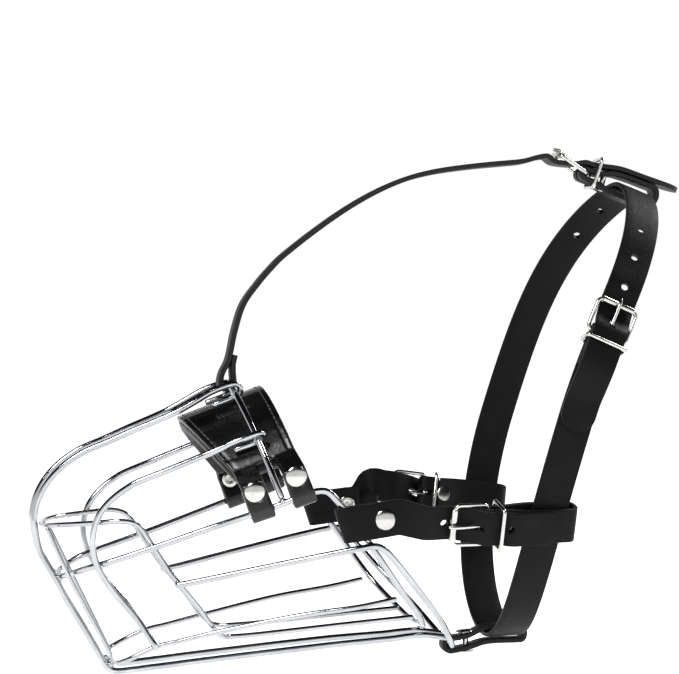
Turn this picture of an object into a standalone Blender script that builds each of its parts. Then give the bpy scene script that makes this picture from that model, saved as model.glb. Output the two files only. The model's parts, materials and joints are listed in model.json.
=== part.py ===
"""Basket muzzle: a welded wire basket under a leather nose pad, held on by a leather harness.

The nose points along -X, the wearer's left side is -Y, and the muzzle stands on Z = 0 on the
corner of its two centre wires and on the leather of its chin tab.
"""

from math import atan, cos, pi, radians, sin, tan

import bmesh
import bpy
import numpy as np
from mathutils import Matrix, Vector

# ---------------------------------------------------------------- driving dimensions (metres)
GAP = 0.0003  # air between pieces that touch

# basket
NOSE_REACH = 0.117  # from the feet of the nose arch forward to the front wires
JAW_REACH = 0.088  # from the same feet back to the tip of the jaw loop
ARCH_HEIGHT = 0.1404  # top of the nose arch above the ground
ARCH_RADIUS = 0.0665  # centre line of the nose arch
ARCH_SPREAD = 0.002  # how much wider the middle loop grows behind the arch
ARCH_LEAN = radians(18.4)  # the arch leans forward at its top
FOOT_X = -0.048  # the feet of the arch along the muzzle
FOOT_RISE = 58.3  # their height, in percent of the basket's height
R_MAIN = 0.0016  # thick wires
R_MEDIUM = 0.0013  # front loop and tray
R_THIN = 0.0011  # upright bars
CENTRE_HOOK = radians(20.5)  # where the wires hook on, from the top of the arch
SIDE_HOOK = radians(54.5)
HOOK_TAIL = 0.012  # wire left beyond each hook

# nose pad
PAD_THICK = 0.0025
LINING_THICK = 0.0050
PAD_FRONT = -0.029  # from the plane of the arch, at the top
PAD_REAR = 0.0155
PAD_TAPER = 0.0123  # the front edge falls back this much at the sides
PAD_DROP = 0.0087  # from the arch's centre line down to the leather's, at the top
PAD_INSET = 0.0065  # and inwards at the sides
TAB_WIDTH = 0.0115
TAB_RIVET_RISE = 0.0100  # above the wire that the tab wraps

# harness
STRAP_WIDTH = 0.017
STRAP_THICK = 0.0024
CHIN_WIDTH = 0.012
NECK_HALF_WIDTH = 0.074
NECK_HEIGHT = 0.2205  # centre line, bottom to top
NECK_LOW = 0.0085  # bottom of the neck strap's centre line
NECK_X = 0.0665  # where it starts at the bottom
NECK_LEAN = 0.0745  # how far back the top lies
NECK_SKEW = 0.0055  # the left side lies further back than the right one
NECK_BOW = 0.0045  # above its middle the right side bows forward, the left side to the rear
NECK_BUCKLE_ANGLE = radians(-70.5)  # from the top, towards the wearer's left
HOLE_R = 0.0018
HOLE_PITCH = 0.015
NECK_PITCH = 0.018
NECK_FAR_HOLES = (radians(35), radians(22))  # on the other side of the neck strap

# buckles
WIRE_BUCKLE = 0.0010  # radius of the frame wire
FRAME_LENGTH = 0.0168  # pivot bar to roller bar
FRAME_CORNER = 0.0020
ROLLER_WALL = 0.0006
R_TONGUE = 0.00085
TONGUE_OVER = 0.0030  # length beyond the roller
KEEPER_X = -0.0050  # behind the pivot bar

# rivets
RIVET_R = 0.0050
RIVET_DOME = 0.0016
SHANK_R = 0.0015
WASHER_R = 0.0040
WASHER_THICK = 0.0006
LOW_RIVET_R = 0.0035
LOW_RIVET_DOME = 0.0004

# ---------------------------------------------------------------- values that follow
HALF_WIDTH = ARCH_RADIUS + ARCH_SPREAD
MAIN_LAP = 2 * R_MAIN + GAP  # between the centre lines of two wires laid across each other
MEDIUM_LAP = R_MAIN + R_MEDIUM + GAP
TRAY_LAP = 2 * R_MEDIUM + GAP
THIN_LAP = R_MEDIUM + R_THIN + GAP
WRAP = R_MAIN + GAP + STRAP_THICK / 2  # centre line of a strap folded round a wire
LAYER = STRAP_THICK + GAP  # between the centres of two strap layers
PAD_WRAP = R_MAIN + 2 * GAP + PAD_THICK / 2
FOLD = WIRE_BUCKLE + GAP + STRAP_THICK / 2  # centre line of a strap folded round a buckle's bar
FRAME_HALF = STRAP_WIDTH / 2 + 2 * GAP + WIRE_BUCKLE
ROLLER_IN = WIRE_BUCKLE + GAP / 2
ROLLER_OUT = ROLLER_IN + ROLLER_WALL
ROLLER_HALF = FRAME_HALF - FRAME_CORNER
UNDER_ROLLER = ROLLER_OUT + 2 * GAP + STRAP_THICK / 2
OVER_FOLD = FOLD + STRAP_THICK + 2.5 * GAP  # centre line of the free end above the fold
TONGUE_EYE = WIRE_BUCKLE + GAP + R_TONGUE
JAW_TIP_Z = R_MAIN + GAP + STRAP_THICK
NECK_CENTRE_Z = NECK_LOW + NECK_HEIGHT / 2

for old in list(bpy.data.objects):
    bpy.data.objects.remove(old)
parts = bpy.data.collections.new("basket_muzzle")
cutters = bpy.data.collections.new("cutters")
bpy.context.scene.collection.children.link(parts)
bpy.context.scene.collection.children.link(cutters)


# ---------------------------------------------------------------- helpers
def material(name, colour, roughness, metallic):
    made = bpy.data.materials.new(name)
    made.use_nodes = True
    shader = made.node_tree.nodes["Principled BSDF"]
    shader.inputs["Base Color"].default_value = (*colour, 1)
    shader.inputs["Roughness"].default_value = roughness
    shader.inputs["Metallic"].default_value = metallic
    return made


CHROME = material("chromed wire", (0.62, 0.62, 0.63), 0.12, 1.0)
LEATHER = material("black leather", (0.012, 0.012, 0.013), 0.45, 0.0)
LINING = material("padded lining", (0.010, 0.010, 0.010), 0.75, 0.0)
NICKEL = material("nickel plate", (0.55, 0.54, 0.52), 0.22, 1.0)


def smooth(controls, spacing=0.009):
    """Points on a smooth curve through the controls, about one spacing apart."""
    points = np.array(controls, float)
    first = 2 * points[0] - points[1]
    last = 2 * points[-1] - points[-2]
    padded = np.vstack([first, points, last])
    path = []
    for i in range(1, len(padded) - 2):
        before, start, end, after = padded[i - 1 : i + 3]
        length = np.linalg.norm(end[:3] - start[:3])
        pull_in = length / (np.linalg.norm(start[:3] - before[:3]) + length)
        pull_out = length / (np.linalg.norm(after[:3] - end[:3]) + length)
        leave = (end - before) * pull_in
        arrive = (after - start) * pull_out
        steps = max(1, round(length / spacing))
        for step in range(steps):
            t = step / steps
            path.append(
                (2 * t**3 - 3 * t**2 + 1) * start
                + (t**3 - 2 * t**2 + t) * leave
                + (3 * t**2 - 2 * t**3) * end
                + (t**3 - t**2) * arrive
            )
    path.append(points[-1])
    return path


def wire(name, path, radius, finish, closed=False, parent=None, place=None):
    """A round wire along a path of points, eight-sided, with filled ends."""
    curve = bpy.data.curves.new(name, "CURVE")
    curve.dimensions = "3D"
    curve.bevel_depth = radius
    curve.bevel_resolution = 2
    curve.use_fill_caps = True
    line = curve.splines.new("POLY")
    line.points.add(len(path) - 1)
    for point, co in zip(line.points, path):
        point.co = (*co[:3], 1)
    line.use_cyclic_u = closed
    curve.materials.append(finish)
    made = bpy.data.objects.new(name, curve)
    parts.objects.link(made)
    seat(made, parent, place)
    return made


def seat(made, parent, place):
    if parent is not None:
        made.parent = parent
    if place is not None:
        made.location = place


def mesh_object(name, mesh_edit, finish, collection=parts, parent=None, place=None):
    mesh = bpy.data.meshes.new(name)
    mesh_edit.to_mesh(mesh)
    mesh_edit.free()
    mesh.materials.append(finish)
    made = bpy.data.objects.new(name, mesh)
    collection.objects.link(made)
    seat(made, parent, place)
    return made


def sheet(name, columns, rows, place_of, thickness, finish, kept=None):
    """A grid laid out by place_of(column, row), given its thickness by Solidify."""
    edit = bmesh.new()
    bmesh.ops.create_grid(edit, x_segments=columns, y_segments=rows, size=1)
    for vert in edit.verts:
        column = round((vert.co.x + 1) / 2 * columns)
        row = round((vert.co.y + 1) / 2 * rows)
        vert.co = place_of(column, row)
        vert.index = row * (columns + 1) + column
    if kept is not None:
        lost = [face for face in edit.faces if not kept([v.index for v in face.verts])]
        bmesh.ops.delete(edit, geom=lost, context="FACES")
    made = mesh_object(name, edit, finish)
    shell = made.modifiers.new("thickness", "SOLIDIFY")
    shell.thickness = thickness
    shell.offset = 0
    shell.use_even_offset = True
    return made


def rounded_end(before, end, width):
    """Stations closer and closer to the end, where a strap's tip is rounded."""
    length = np.linalg.norm(end[:3] - before[:3])
    backs = [width / 2 * b for b in (1, 0.6, 0.3, 0.1, 0)]
    return [end + (before - end) * b / length for b in backs if b < 0.9 * length]


def strap(name, stations, width, thickness=STRAP_THICK, tip=False):
    """A flat strap through stations of six numbers: its centre, then its width direction."""
    path = [np.array(s) for s in stations]
    if tip:
        path = path[:-1] + rounded_end(path[-2], path[-1], width)
    steps = [np.linalg.norm(b[:3] - a[:3]) for a, b in zip(path, path[1:])]
    total = sum(steps)
    run = np.concatenate([[0], np.cumsum(steps)])

    def half(row):
        left = total - run[row]
        if not tip or left > width / 2:
            return width / 2
        reach = 1 - left / (width / 2)
        return width / 2 * max(0.35, (1 - reach**2) ** 0.5)

    def place_of(column, row):
        station = path[row]
        ahead = path[min(row + 1, len(path) - 1)][:3] - path[max(row - 1, 0)][:3]
        ahead = Vector(ahead).normalized()
        side = Vector(station[3:])
        side = (side - side.dot(ahead) * ahead).normalized()
        return Vector(station[:3]) + side * half(row) * (2 * column - 1)

    return sheet(name, 1, len(path) - 1, place_of, thickness, LEATHER)


def turned(profile, sides, matrix=Matrix()):
    """A solid turned about the matrix's Z axis from a profile of (radius, height) points."""
    edit = bmesh.new()
    ring = [edit.verts.new((r, 0, z)) for r, z in profile]
    edges = [edit.edges.new(pair) for pair in zip(ring, ring[1:])]
    if profile[0][0] > 0:
        edges.append(edit.edges.new((ring[-1], ring[0])))
    bmesh.ops.spin(
        edit,
        geom=ring + edges,
        axis=(0, 0, 1),
        cent=(0, 0, 0),
        angle=2 * pi,
        steps=sides,
        use_merge=True,
    )
    bmesh.ops.remove_doubles(edit, verts=edit.verts, dist=0.00001)
    bmesh.ops.transform(edit, matrix=matrix, verts=edit.verts)
    bmesh.ops.recalc_face_normals(edit, faces=edit.faces)
    return edit


def cut_round(target, name, matrices, radius, length):
    """Drills round holes along the Z axis of each matrix through the target."""
    edit = bmesh.new()
    for matrix in matrices:
        bmesh.ops.create_cone(
            edit,
            cap_ends=True,
            segments=12,
            radius1=radius,
            radius2=radius,
            depth=length,
            matrix=matrix,
        )
    cut(target, name, edit)


def cut_slot(target, name, matrix, size):
    """Cuts a block of this size out of the target, at the matrix."""
    edit = bmesh.new()
    bmesh.ops.create_cube(edit, size=1, matrix=matrix @ Matrix.Diagonal((*size, 1)))
    cut(target, name, edit)


def cut(target, name, edit):
    tool = mesh_object(name, edit, CHROME, cutters)
    tool.hide_render = True
    tool.display_type = "WIRE"
    hole = target.modifiers.new(name, "BOOLEAN")
    hole.operation = "DIFFERENCE"
    hole.solver = "EXACT"
    hole.use_self = True
    hole.object = tool


def mirrored(half):
    """The whole run of a wire from its half on +Y, which starts on the middle plane."""
    other = [np.array([p[0], -p[1], p[2]]) for p in reversed(half[1:])]
    return other + list(half)


def frame_matrix(origin, along, outward):
    """A local frame: X along, Z outward, Y across."""
    x = Vector(along).normalized()
    z = (Vector(outward) - Vector(outward).dot(x) * x).normalized()
    y = z.cross(x)
    turn = Matrix((x, y, z)).transposed().to_4x4()
    return Matrix.Translation(Vector(origin)) @ turn


def at(matrix, x, z, y=0.0):
    return np.array(matrix @ Vector((x, y, z)))


def laid(matrix, spots, side=None):
    """Strap stations at local (x, z) spots, as wide as the frame's Y axis points."""
    across = np.array(matrix.col[1][:3] if side is None else side)
    return [np.concatenate([at(matrix, x, z), across]) for x, z in spots]


def arc(centre, radius, start, end, steps, flat=1.0):
    """Points (x, z) on an arc, its angles in degrees from +X towards +Z, its X squeezed by flat."""
    turn = [radians(start + (end - start) * i / steps) for i in range(steps + 1)]
    return [(centre[0] + flat * radius * cos(a), centre[1] + radius * sin(a)) for a in turn]


# ---------------------------------------------------------------- the basket's skin
def skin(along, across, up, depth=0.0):
    """A point on the basket in percent of its reach, half width and height, laid this deep."""
    reach = NOSE_REACH if along < 0 else JAW_REACH
    point = Vector(
        (
            FOOT_X + along / 100 * reach,
            across / 100 * HALF_WIDTH,
            R_MAIN + up / 100 * (ARCH_HEIGHT - R_MAIN),
        )
    )
    front = Vector((FOOT_X - 0.57 * NOSE_REACH, 0, 0.45 * ARCH_HEIGHT))
    rear = Vector((FOOT_X + 0.77 * JAW_REACH, 0, 0.43 * ARCH_HEIGHT))
    spine = rear - front
    share = min(1, max(0, (point - front).dot(spine) / spine.dot(spine)))
    outward = (point - front - share * spine).normalized()
    return np.array(point - depth * outward)


def laid_wire(controls):
    return [skin(*c) for c in controls]


foot_z = R_MAIN + FOOT_RISE / 100 * (ARCH_HEIGHT - R_MAIN)
arch_top = Vector((FOOT_X - (ARCH_HEIGHT - foot_z) * tan(ARCH_LEAN), 0, ARCH_HEIGHT))
arch_up = Vector((-sin(ARCH_LEAN), 0, cos(ARCH_LEAN)))
arch_back = Vector((cos(ARCH_LEAN), 0, sin(ARCH_LEAN)))
ARCH = Matrix((arch_back, (0, 1, 0), arch_up)).transposed().to_4x4()
ARCH = Matrix.Translation(arch_top - ARCH_RADIUS * arch_up) @ ARCH


def in_arch(back, across, up):
    return np.array(ARCH @ Vector((back, across, up)))


def hook(angle):
    """A wire's end, bent round the arch from below: tail, bend and the start of its run."""
    out = Vector((0, sin(angle), cos(angle)))
    seat_point = out * ARCH_RADIUS
    spots = [(-HOOK_TAIL, -MAIN_LAP)] + arc((0, 0), MAIN_LAP, -90, 90, 6)
    spots.append((-0.010, MAIN_LAP))
    return [np.array(ARCH @ (seat_point + Vector((b, 0, 0)) + out * r)) for b, r in spots]


# ---------------------------------------------------------------- basket wires
middle_half = laid_wire(
    [
        (-94, 0, 32.5, MAIN_LAP + GAP),
        (-92.5, 28.5, 33.5, MAIN_LAP + GAP),
        (-87, 50, 35.5, MAIN_LAP),
        (-81, 64, 37.5, MAIN_LAP),
        (-74.5, 71, 39, MAIN_LAP),
        (-50.5, 79.5, 45, MAIN_LAP),
        (-27.5, 87, 51.5, MAIN_LAP),
        (-13.5, 93, 55, MAIN_LAP / 2),
        (0, 96.5, FOOT_RISE, 0),
        (11.5, 99.5, 61, 0),
        (19, 100, 62.2, 0),
        (24, 100, 61.7, 0),
        (29, 100, 58.5, 0),
        (35.5, 100, 53, 0),
        (50, 99.5, 39, 0),
        (58.5, 95.5, 30.5, 0),
        (67.5, 86, 22, 0),
        (75.5, 68.5, 15.5, 0),
        (80.5, 39.5, 11.2, 0),
        (83, 0, 9.8, 0),
    ]
)
middle_path = smooth(middle_half)
whole_middle = mirrored(middle_path)[:-1]
wire("middle_loop", whole_middle, R_MAIN, CHROME, closed=True)


def middle_near(test):
    """The point of the middle loop's left run where test is smallest."""
    dense = smooth(middle_half, 0.0005)
    return min(dense, key=test)


foot = middle_near(lambda p: abs(p[0] - FOOT_X))


def arch_wire():
    inverse = ARCH.inverted()
    low = (inverse @ Vector(foot))[2] + R_MAIN + 3 * GAP
    sweep = np.arccos(max(0.0, low / ARCH_RADIUS))
    steps = 14
    half = [
        in_arch(0, ARCH_RADIUS * sin(a), ARCH_RADIUS * cos(a))
        for a in [sweep * i / steps for i in range(steps + 1)]
    ]
    if low < 0:
        half.append(in_arch(0, ARCH_RADIUS, low))
    wire("nose_arch_wire", mirrored(half), R_MAIN, CHROME)


arch_wire()

centre_run = laid_wire(
    [
        (-39.5, 38, 90.5),
        (-58.5, 33.5, 84.3),
        (-68.5, 32, 80.9),
        (-79.5, 30.5, 77.3),
        (-88, 30, 72.7),
        (-94, 29, 67.6),
        (-98, 28, 62),
        (-100, 27.5, 56.3),
        (-100, 27.5, 51.5),
        (-98.5, 26.5, 43.8),
        (-92.5, 26, 33.8),
        (-88, 25.5, 25.8),
        (-82, 25, 16.7),
        (-75.5, 24.5, 6.4),
        (-72.8, 24, 2),
        (-69.5, 24, 0),
        (-53, 24, 0.6),
        (-33, 24, 1.9),
        (29.5, 23, 5),
        (66, 20, 6),
        (83, 18, 6.6),
    ]
)
side_run = laid_wire(
    [
        (-26, 80, 77.2),
        (-49, 79.5, 70.2),
        (-61, 76.5, 66.4),
        (-69, 73.8, 61.8),
        (-74.5, 72.3, 56.6),
        (-77, 71.5, 51),
        (-77.5, 70.5, 45),
        (-75.5, 69.3, 38),
        (-70, 66.5, 30),
        (-60.5, 63.5, 19.8),
    ]
)
jaw_half = laid_wire(
    [
        (-44.5, 73.5, 31),
        (-38.5, 75.5, 31.7),
        (12.5, 98, 39),
        (41, 105, 42),
        (49, 105, 42.4),
        (54, 104, 40.6),
        (58.5, 102, 37.5),
        (73.5, 89, 25.3),
        (86.5, 64, 15),
        (95.5, 35, 6.6),
    ]
)
jaw_tip = np.array([FOOT_X + JAW_REACH, 0, JAW_TIP_Z])
jaw_side = jaw_tip + np.array([-0.0002, 0.010, 0.0002])
jaw_path = smooth(list(reversed([*jaw_half, jaw_side, jaw_tip])))
wire("jaw_loop", mirrored(jaw_path), R_MAIN, CHROME)

tray_controls = [
    (-70.5, 0, 1, MEDIUM_LAP),
    (-70.5, 25.5, 1, MEDIUM_LAP),
    (-70, 46, 1.5, MEDIUM_LAP),
    (-68.5, 58, 2.4, MEDIUM_LAP),
    (-63.5, 63.5, 4.2, MEDIUM_LAP),
    (-53, 65, 7.8, MEDIUM_LAP),
    (-43, 66.5, 9.5, MEDIUM_LAP),
    (-29, 69.5, 12, MEDIUM_LAP),
    (8, 83, 17.5, MEDIUM_LAP),
    (40.5, 90.5, 20, MEDIUM_LAP),
    (61, 92, 22.3, MEDIUM_LAP),
]
tray_path = smooth(laid_wire(tray_controls))
wire("bottom_tray_wire", mirrored(tray_path), R_MEDIUM, CHROME)

inner_depth = MAIN_LAP + MEDIUM_LAP  # under the middle loop, which lies under the side wires
tray_depth = MEDIUM_LAP + TRAY_LAP
upper_controls = [
    (-99.3, 0, 52.5, MEDIUM_LAP),
    (-98.5, 27.5, 52.8, MEDIUM_LAP),
    (-92.5, 49.5, 53.5, MEDIUM_LAP),
    (-82.5, 63.5, 54, MEDIUM_LAP),
    (-75, 70, 54.3, MEDIUM_LAP),
    (-65, 75, 54.5, MEDIUM_LAP),
    (-58.5, 78.5, 53, inner_depth),
    (-53, 78.5, 45, inner_depth),
    (-48, 77.5, 37, inner_depth),
    (-43, 75.5, 30.5, MAIN_LAP + R_MEDIUM),
    (-34, 69.5, 19, tray_depth),
    (-29, 66.5, 12, tray_depth),
    (-25.5, 58.5, 8.5, tray_depth),
    (-21.5, 48, 7.2, tray_depth),
    (-10.5, 44.5, 7.2, tray_depth),
    (35, 42, 9, tray_depth),
    (76, 41, 10.5, tray_depth),
]
upper_path = smooth(laid_wire(upper_controls))
wire("upper_front_loop", mirrored(upper_path), R_MEDIUM, CHROME)

for label, side in (("left", -1), ("right", 1)):
    flip = np.array([1, side, 1])
    end = jaw_side + np.array([-0.001, 0.001, MAIN_LAP + 0.0004])
    run = hook(CENTRE_HOOK) + centre_run + [end]
    run = [p * flip for p in smooth(run)]
    wire(f"centre_wire_{label}", run, R_MAIN, CHROME)
    tray_seat = min(tray_path, key=lambda p: np.linalg.norm(p - skin(-54, 65, 9)))
    end = tray_seat + np.array([0, MEDIUM_LAP + GAP, 0])
    run = [p * flip for p in smooth(hook(SIDE_HOOK) + side_run + [end])]
    wire(f"side_wire_{label}", run, R_MAIN, CHROME)


def upright(name, top_share, bottom_share, between=()):
    """A thin bar from behind the front loop down to behind the tray's front."""
    top = (-99.3, top_share, 53, MEDIUM_LAP + THIN_LAP)
    bottom = (-72, bottom_share, 2.5, MEDIUM_LAP + THIN_LAP)
    wire(name, smooth(laid_wire([top, *between, bottom])), R_THIN, CHROME)


upright("upright_bar_centre", 0, 0)
for label, side in (("left", -1), ("right", 1)):
    outside = (-87.5, 49.5 * side, 35.5, 0)  # it passes outside the middle loop
    upright(f"upright_bar_{label}", 52 * side, 47 * side, [outside])


# ---------------------------------------------------------------- nose pad
TAB_FRONT = (PAD_FRONT + PAD_TAPER, PAD_FRONT + PAD_TAPER + TAB_WIDTH)
TAB_REAR = (PAD_REAR - TAB_WIDTH, PAD_REAR)
PAD_EDGE = radians(63)  # where the arch of the pad ends and its tabs flare out
PAD_PAIR = (PAD_THICK + GAP) / 2  # half the pitch of a tab's two layers


def wrapped_wire(back):
    """Where the middle loop passes the pad's tab, in the arch's own frame: (across, up)."""
    inverse = ARCH.inverted()
    spot = middle_near(lambda p: abs((inverse @ Vector(p))[0] - back) + (p[0] > -0.02))
    local = inverse @ Vector(spot)
    return local[1], local[2]


def tab_rows(back):
    """(across, up) down the outside of a tab, round the wire and up its inside."""
    across, up = wrapped_wire(back)
    outer = across + PAD_PAIR
    inner = across - PAD_PAIR
    rows = [(outer, up + 0.0130), (outer, up + 0.0075)]
    rows += [(across + c, up + u) for c, u in arc((0, 0), PAD_WRAP, 20, -200, 8)]
    rows += [(inner, up + 0.0075), (inner, up + 0.0118)]
    return rows


tabs = [tab_rows(back) for back in TAB_FRONT + TAB_REAR]
ARCH_ROWS = 9
arch_angles = [PAD_EDGE * i / ARCH_ROWS for i in range(ARCH_ROWS + 1)]
half_rows = ARCH_ROWS + len(tabs[0])


def pad_place(column, row):
    step = row - half_rows
    side = -1 if step < 0 else 1
    step = abs(step)
    sweep = min(step, ARCH_ROWS)
    angle = arch_angles[sweep]
    fall = (1 - cos(angle)) / (1 - cos(PAD_EDGE)) * PAD_TAPER
    front = PAD_FRONT + fall
    back = (front, front + TAB_WIDTH, TAB_REAR[0], TAB_REAR[1])[column]
    across = (ARCH_RADIUS - PAD_INSET) * sin(angle)
    up = (ARCH_RADIUS - PAD_DROP) * cos(angle)
    if step > ARCH_ROWS:
        across, up = tabs[column][step - ARCH_ROWS - 1]
    return Vector(in_arch(back, side * across, up))


def pad_kept(corners):
    columns = {index % 4 for index in corners}
    rows = {abs(index // 4 - half_rows) for index in corners}
    return columns != {1, 2} or max(rows) <= ARCH_ROWS


cover = sheet(
    "nose_pad_cover", 3, 2 * half_rows, pad_place, PAD_THICK, LEATHER, kept=pad_kept
)

lining_drop = PAD_THICK / 2 + GAP + LINING_THICK / 2
LINING_ROWS = 16
LINING_EDGE = radians(66)


def lining_place(column, row):
    angle = LINING_EDGE * (2 * row / LINING_ROWS - 1)
    fall = (1 - cos(angle)) / (1 - cos(LINING_EDGE)) * PAD_TAPER
    back = (PAD_FRONT + fall, PAD_REAR)[column]
    across = (ARCH_RADIUS - PAD_INSET - lining_drop) * sin(angle)
    up = (ARCH_RADIUS - PAD_DROP - lining_drop) * cos(angle)
    return Vector(in_arch(back, across, up))


sheet("nose_pad_lining", 1, LINING_ROWS, lining_place, LINING_THICK, LINING)


# ---------------------------------------------------------------- rivets
def rivet_profile(stack, radius, dome, washer=WASHER_R):
    """A domed cap above a stack of leather this thick, its shank and the washer below."""
    top = stack / 2 + GAP
    return [
        (0, top + dome),
        (0.5 * radius, top + 0.86 * dome),
        (0.85 * radius, top + 0.5 * dome),
        (radius, top + 0.1 * dome),
        (radius, top),
        (SHANK_R, top),
        (SHANK_R, -top),
        (washer, -top),
        (washer, -top - WASHER_THICK),
        (0, -top - WASHER_THICK),
    ]


def place_on(origin, outward, along=(0, 0, 1)):
    return frame_matrix(origin, along, outward)


def rivet(name, leather, matrix, stack, radius=RIVET_R, dome=RIVET_DOME, washer=WASHER_R):
    """A rivet through a stack of leather, and the seat that it has pressed into that leather."""
    profile = rivet_profile(stack, radius, dome, washer)
    mesh_object(name, turned(profile, 12, matrix), NICKEL)
    half = stack / 2
    above = half + dome + 2 * GAP
    below = -half - WASHER_THICK - 2 * GAP
    seat_profile = [
        (0, above),
        (radius + GAP, above),
        (radius + GAP, half),
        (SHANK_R + GAP, half),
        (SHANK_R + GAP, -half),
        (washer + GAP, -half),
        (washer + GAP, below),
        (0, below),
    ]
    cut(leather, f"{name}_seat", turned(seat_profile, 12, matrix))


for label, back in (("front", sum(TAB_FRONT) / 2), ("rear", sum(TAB_REAR) / 2)):
    across, up = wrapped_wire(back)
    for side_label, side in (("left", -1), ("right", 1)):
        middle = in_arch(back, side * across, up + TAB_RIVET_RISE)
        spot = place_on(middle, (0, side, 0))
        rivet(f"pad_rivet_{label}_{side_label}", cover, spot, 2 * PAD_THICK + GAP)


# ---------------------------------------------------------------- roller buckles
def rounded_frame(length, half, corner):
    """Path of a buckle's frame in its own plane, from its pivot bar to its roller bar."""
    path = []
    for cx, cy, start in (
        (length - corner, half - corner, 0),
        (corner, half - corner, 90),
        (corner, corner - half, 180),
        (length - corner, corner - half, 270),
    ):
        path += [(x, y, 0) for x, y in arc((cx, cy), corner, start, start + 90, 3)]
    return path


def keeper_path(half, low, high, corner=0.0013):
    path = []
    for cy, cz, start in (
        (half - corner, high - corner, 0),
        (corner - half, high - corner, 90),
        (corner - half, low + corner, 180),
        (half - corner, low + corner, 270),
    ):
        path += [(0, y, z) for y, z in arc((cy, cz), corner, start, start + 90, 2)]
    return path


def tongue_path():
    """From its open eye round the pivot bar, over the roller to its tip."""
    eye = [(x, 0, z) for x, z in arc((0, 0), TONGUE_EYE, 300, 90, 8)]
    rest = ROLLER_OUT + R_TONGUE + GAP
    run = [
        (0.35 * FRAME_LENGTH, 0, TONGUE_EYE + 0.0001),
        (0.75 * FRAME_LENGTH, 0, rest - 0.0001),
        (FRAME_LENGTH, 0, rest + 0.0001),
        (FRAME_LENGTH + TONGUE_OVER, 0, rest - 0.0012),
    ]
    return eye + smooth([eye[-1], *run], 0.004)[1:]


def roller_buckle(label, matrix, keeper_matrix, keeper_low, keeper_high):
    """Frame, roller, tongue and keeper. X runs from the pivot bar to the roller, Z outward."""
    hub = bpy.data.objects.new(f"{label}_buckle", None)
    parts.objects.link(hub)
    hub.matrix_world = matrix
    frame = rounded_frame(FRAME_LENGTH, FRAME_HALF, FRAME_CORNER)
    wire(f"{label}_buckle_frame", frame, WIRE_BUCKLE, NICKEL, closed=True, parent=hub)
    wire(f"{label}_buckle_tongue", tongue_path(), R_TONGUE, NICKEL, parent=hub)
    tube = [
        (ROLLER_IN, ROLLER_HALF),
        (ROLLER_OUT, ROLLER_HALF),
        (ROLLER_OUT, -ROLLER_HALF),
        (ROLLER_IN, -ROLLER_HALF),
    ]
    across = Matrix.Rotation(pi / 2, 4, "X")
    mesh_object(
        f"{label}_buckle_roller",
        turned(tube, 16, across),
        NICKEL,
        parent=hub,
        place=(FRAME_LENGTH, 0, 0),
    )
    slider = bpy.data.objects.new(f"{label}_keeper_seat", None)
    parts.objects.link(slider)
    slider.matrix_world = keeper_matrix
    room = STRAP_WIDTH / 2 + 2 * GAP + WIRE_BUCKLE
    low = keeper_low - 2 * GAP - WIRE_BUCKLE
    high = keeper_high + 2 * GAP + WIRE_BUCKLE
    loop = keeper_path(room, low, high)
    wire(f"{label}_buckle_keeper", loop, WIRE_BUCKLE, NICKEL, closed=True, parent=slider)


def billet_entry():
    """Local (x, z) of a free end: in under the roller, up through the frame, over the fold."""
    return [
        (FRAME_LENGTH + 0.012, -UNDER_ROLLER - 0.0002),
        (FRAME_LENGTH + 0.005, -UNDER_ROLLER - 0.0004),
        (FRAME_LENGTH + 0.0005, -UNDER_ROLLER - 0.0004),
        (0.80 * FRAME_LENGTH, -UNDER_ROLLER + 0.0011),
        (0.45 * FRAME_LENGTH, 0.0010),
        (0.20 * FRAME_LENGTH, OVER_FOLD - 0.0010),
        (0.0, OVER_FOLD),
        (-0.006, OVER_FOLD),
    ]


def tongue_hole(target, label, matrix):
    """The oblong hole that the tongue stands in, cut through the free end."""
    middle = matrix @ Matrix.Translation((0.33 * FRAME_LENGTH, 0, 0.0025))
    size = (0.0095, 2 * R_TONGUE + 4 * GAP, 0.007)
    cut_slot(target, f"tongue_hole_{label}", middle, size)


def fold_slot(target, label, matrix):
    """The slot that lets the tongue's eye and shank through the fold round the pivot bar."""
    middle = matrix @ Matrix.Translation((0.0008, 0, 0))
    size = (0.0090, 2 * R_TONGUE + 5 * GAP, 2 * FOLD + STRAP_THICK + 0.001)
    cut_slot(target, f"fold_slot_{label}", middle, size)


# ---------------------------------------------------------------- neck strap
def neck_point(angle, out=0.0):
    """Centre and width direction of the neck strap, its angle from the top towards +Y."""
    half_height = NECK_HEIGHT / 2
    rise = (1 + cos(angle)) / 2
    lean = NECK_LEAN * rise**1.75
    slope = NECK_LEAN * 1.75 * rise**0.75 / NECK_HEIGHT
    y = NECK_HALF_WIDTH * sin(angle)
    z = NECK_CENTRE_Z + half_height * cos(angle)
    x = NECK_X + lean - NECK_SKEW * sin(angle)
    if cos(angle) > 0:
        x -= NECK_BOW * sin(2 * angle) ** 2 * (1 if sin(angle) > 0 else -1)
    normal = Vector((0, sin(angle) / NECK_HALF_WIDTH, cos(angle) / half_height)).normalized()
    back = 0.8 * atan(slope)
    across = Vector((cos(back), 0, -sin(back)))
    normal = (normal - normal.dot(across) * across).normalized()
    centre = Vector((x, y, z)) + out * normal
    return centre, across, normal


def neck_frame(angle, out=0.0):
    """A frame on the neck strap: X along the strap towards its top, Z outward."""
    step = radians(0.5)
    here, across, normal = neck_point(angle, out)
    ahead = neck_point(angle + (step if angle < 0 else -step), out)[0]
    return frame_matrix(here, ahead - here, normal)


def neck_station(angle, out=0.0):
    centre, across, _ = neck_point(angle, out)
    return np.array((*centre, *across))


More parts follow.
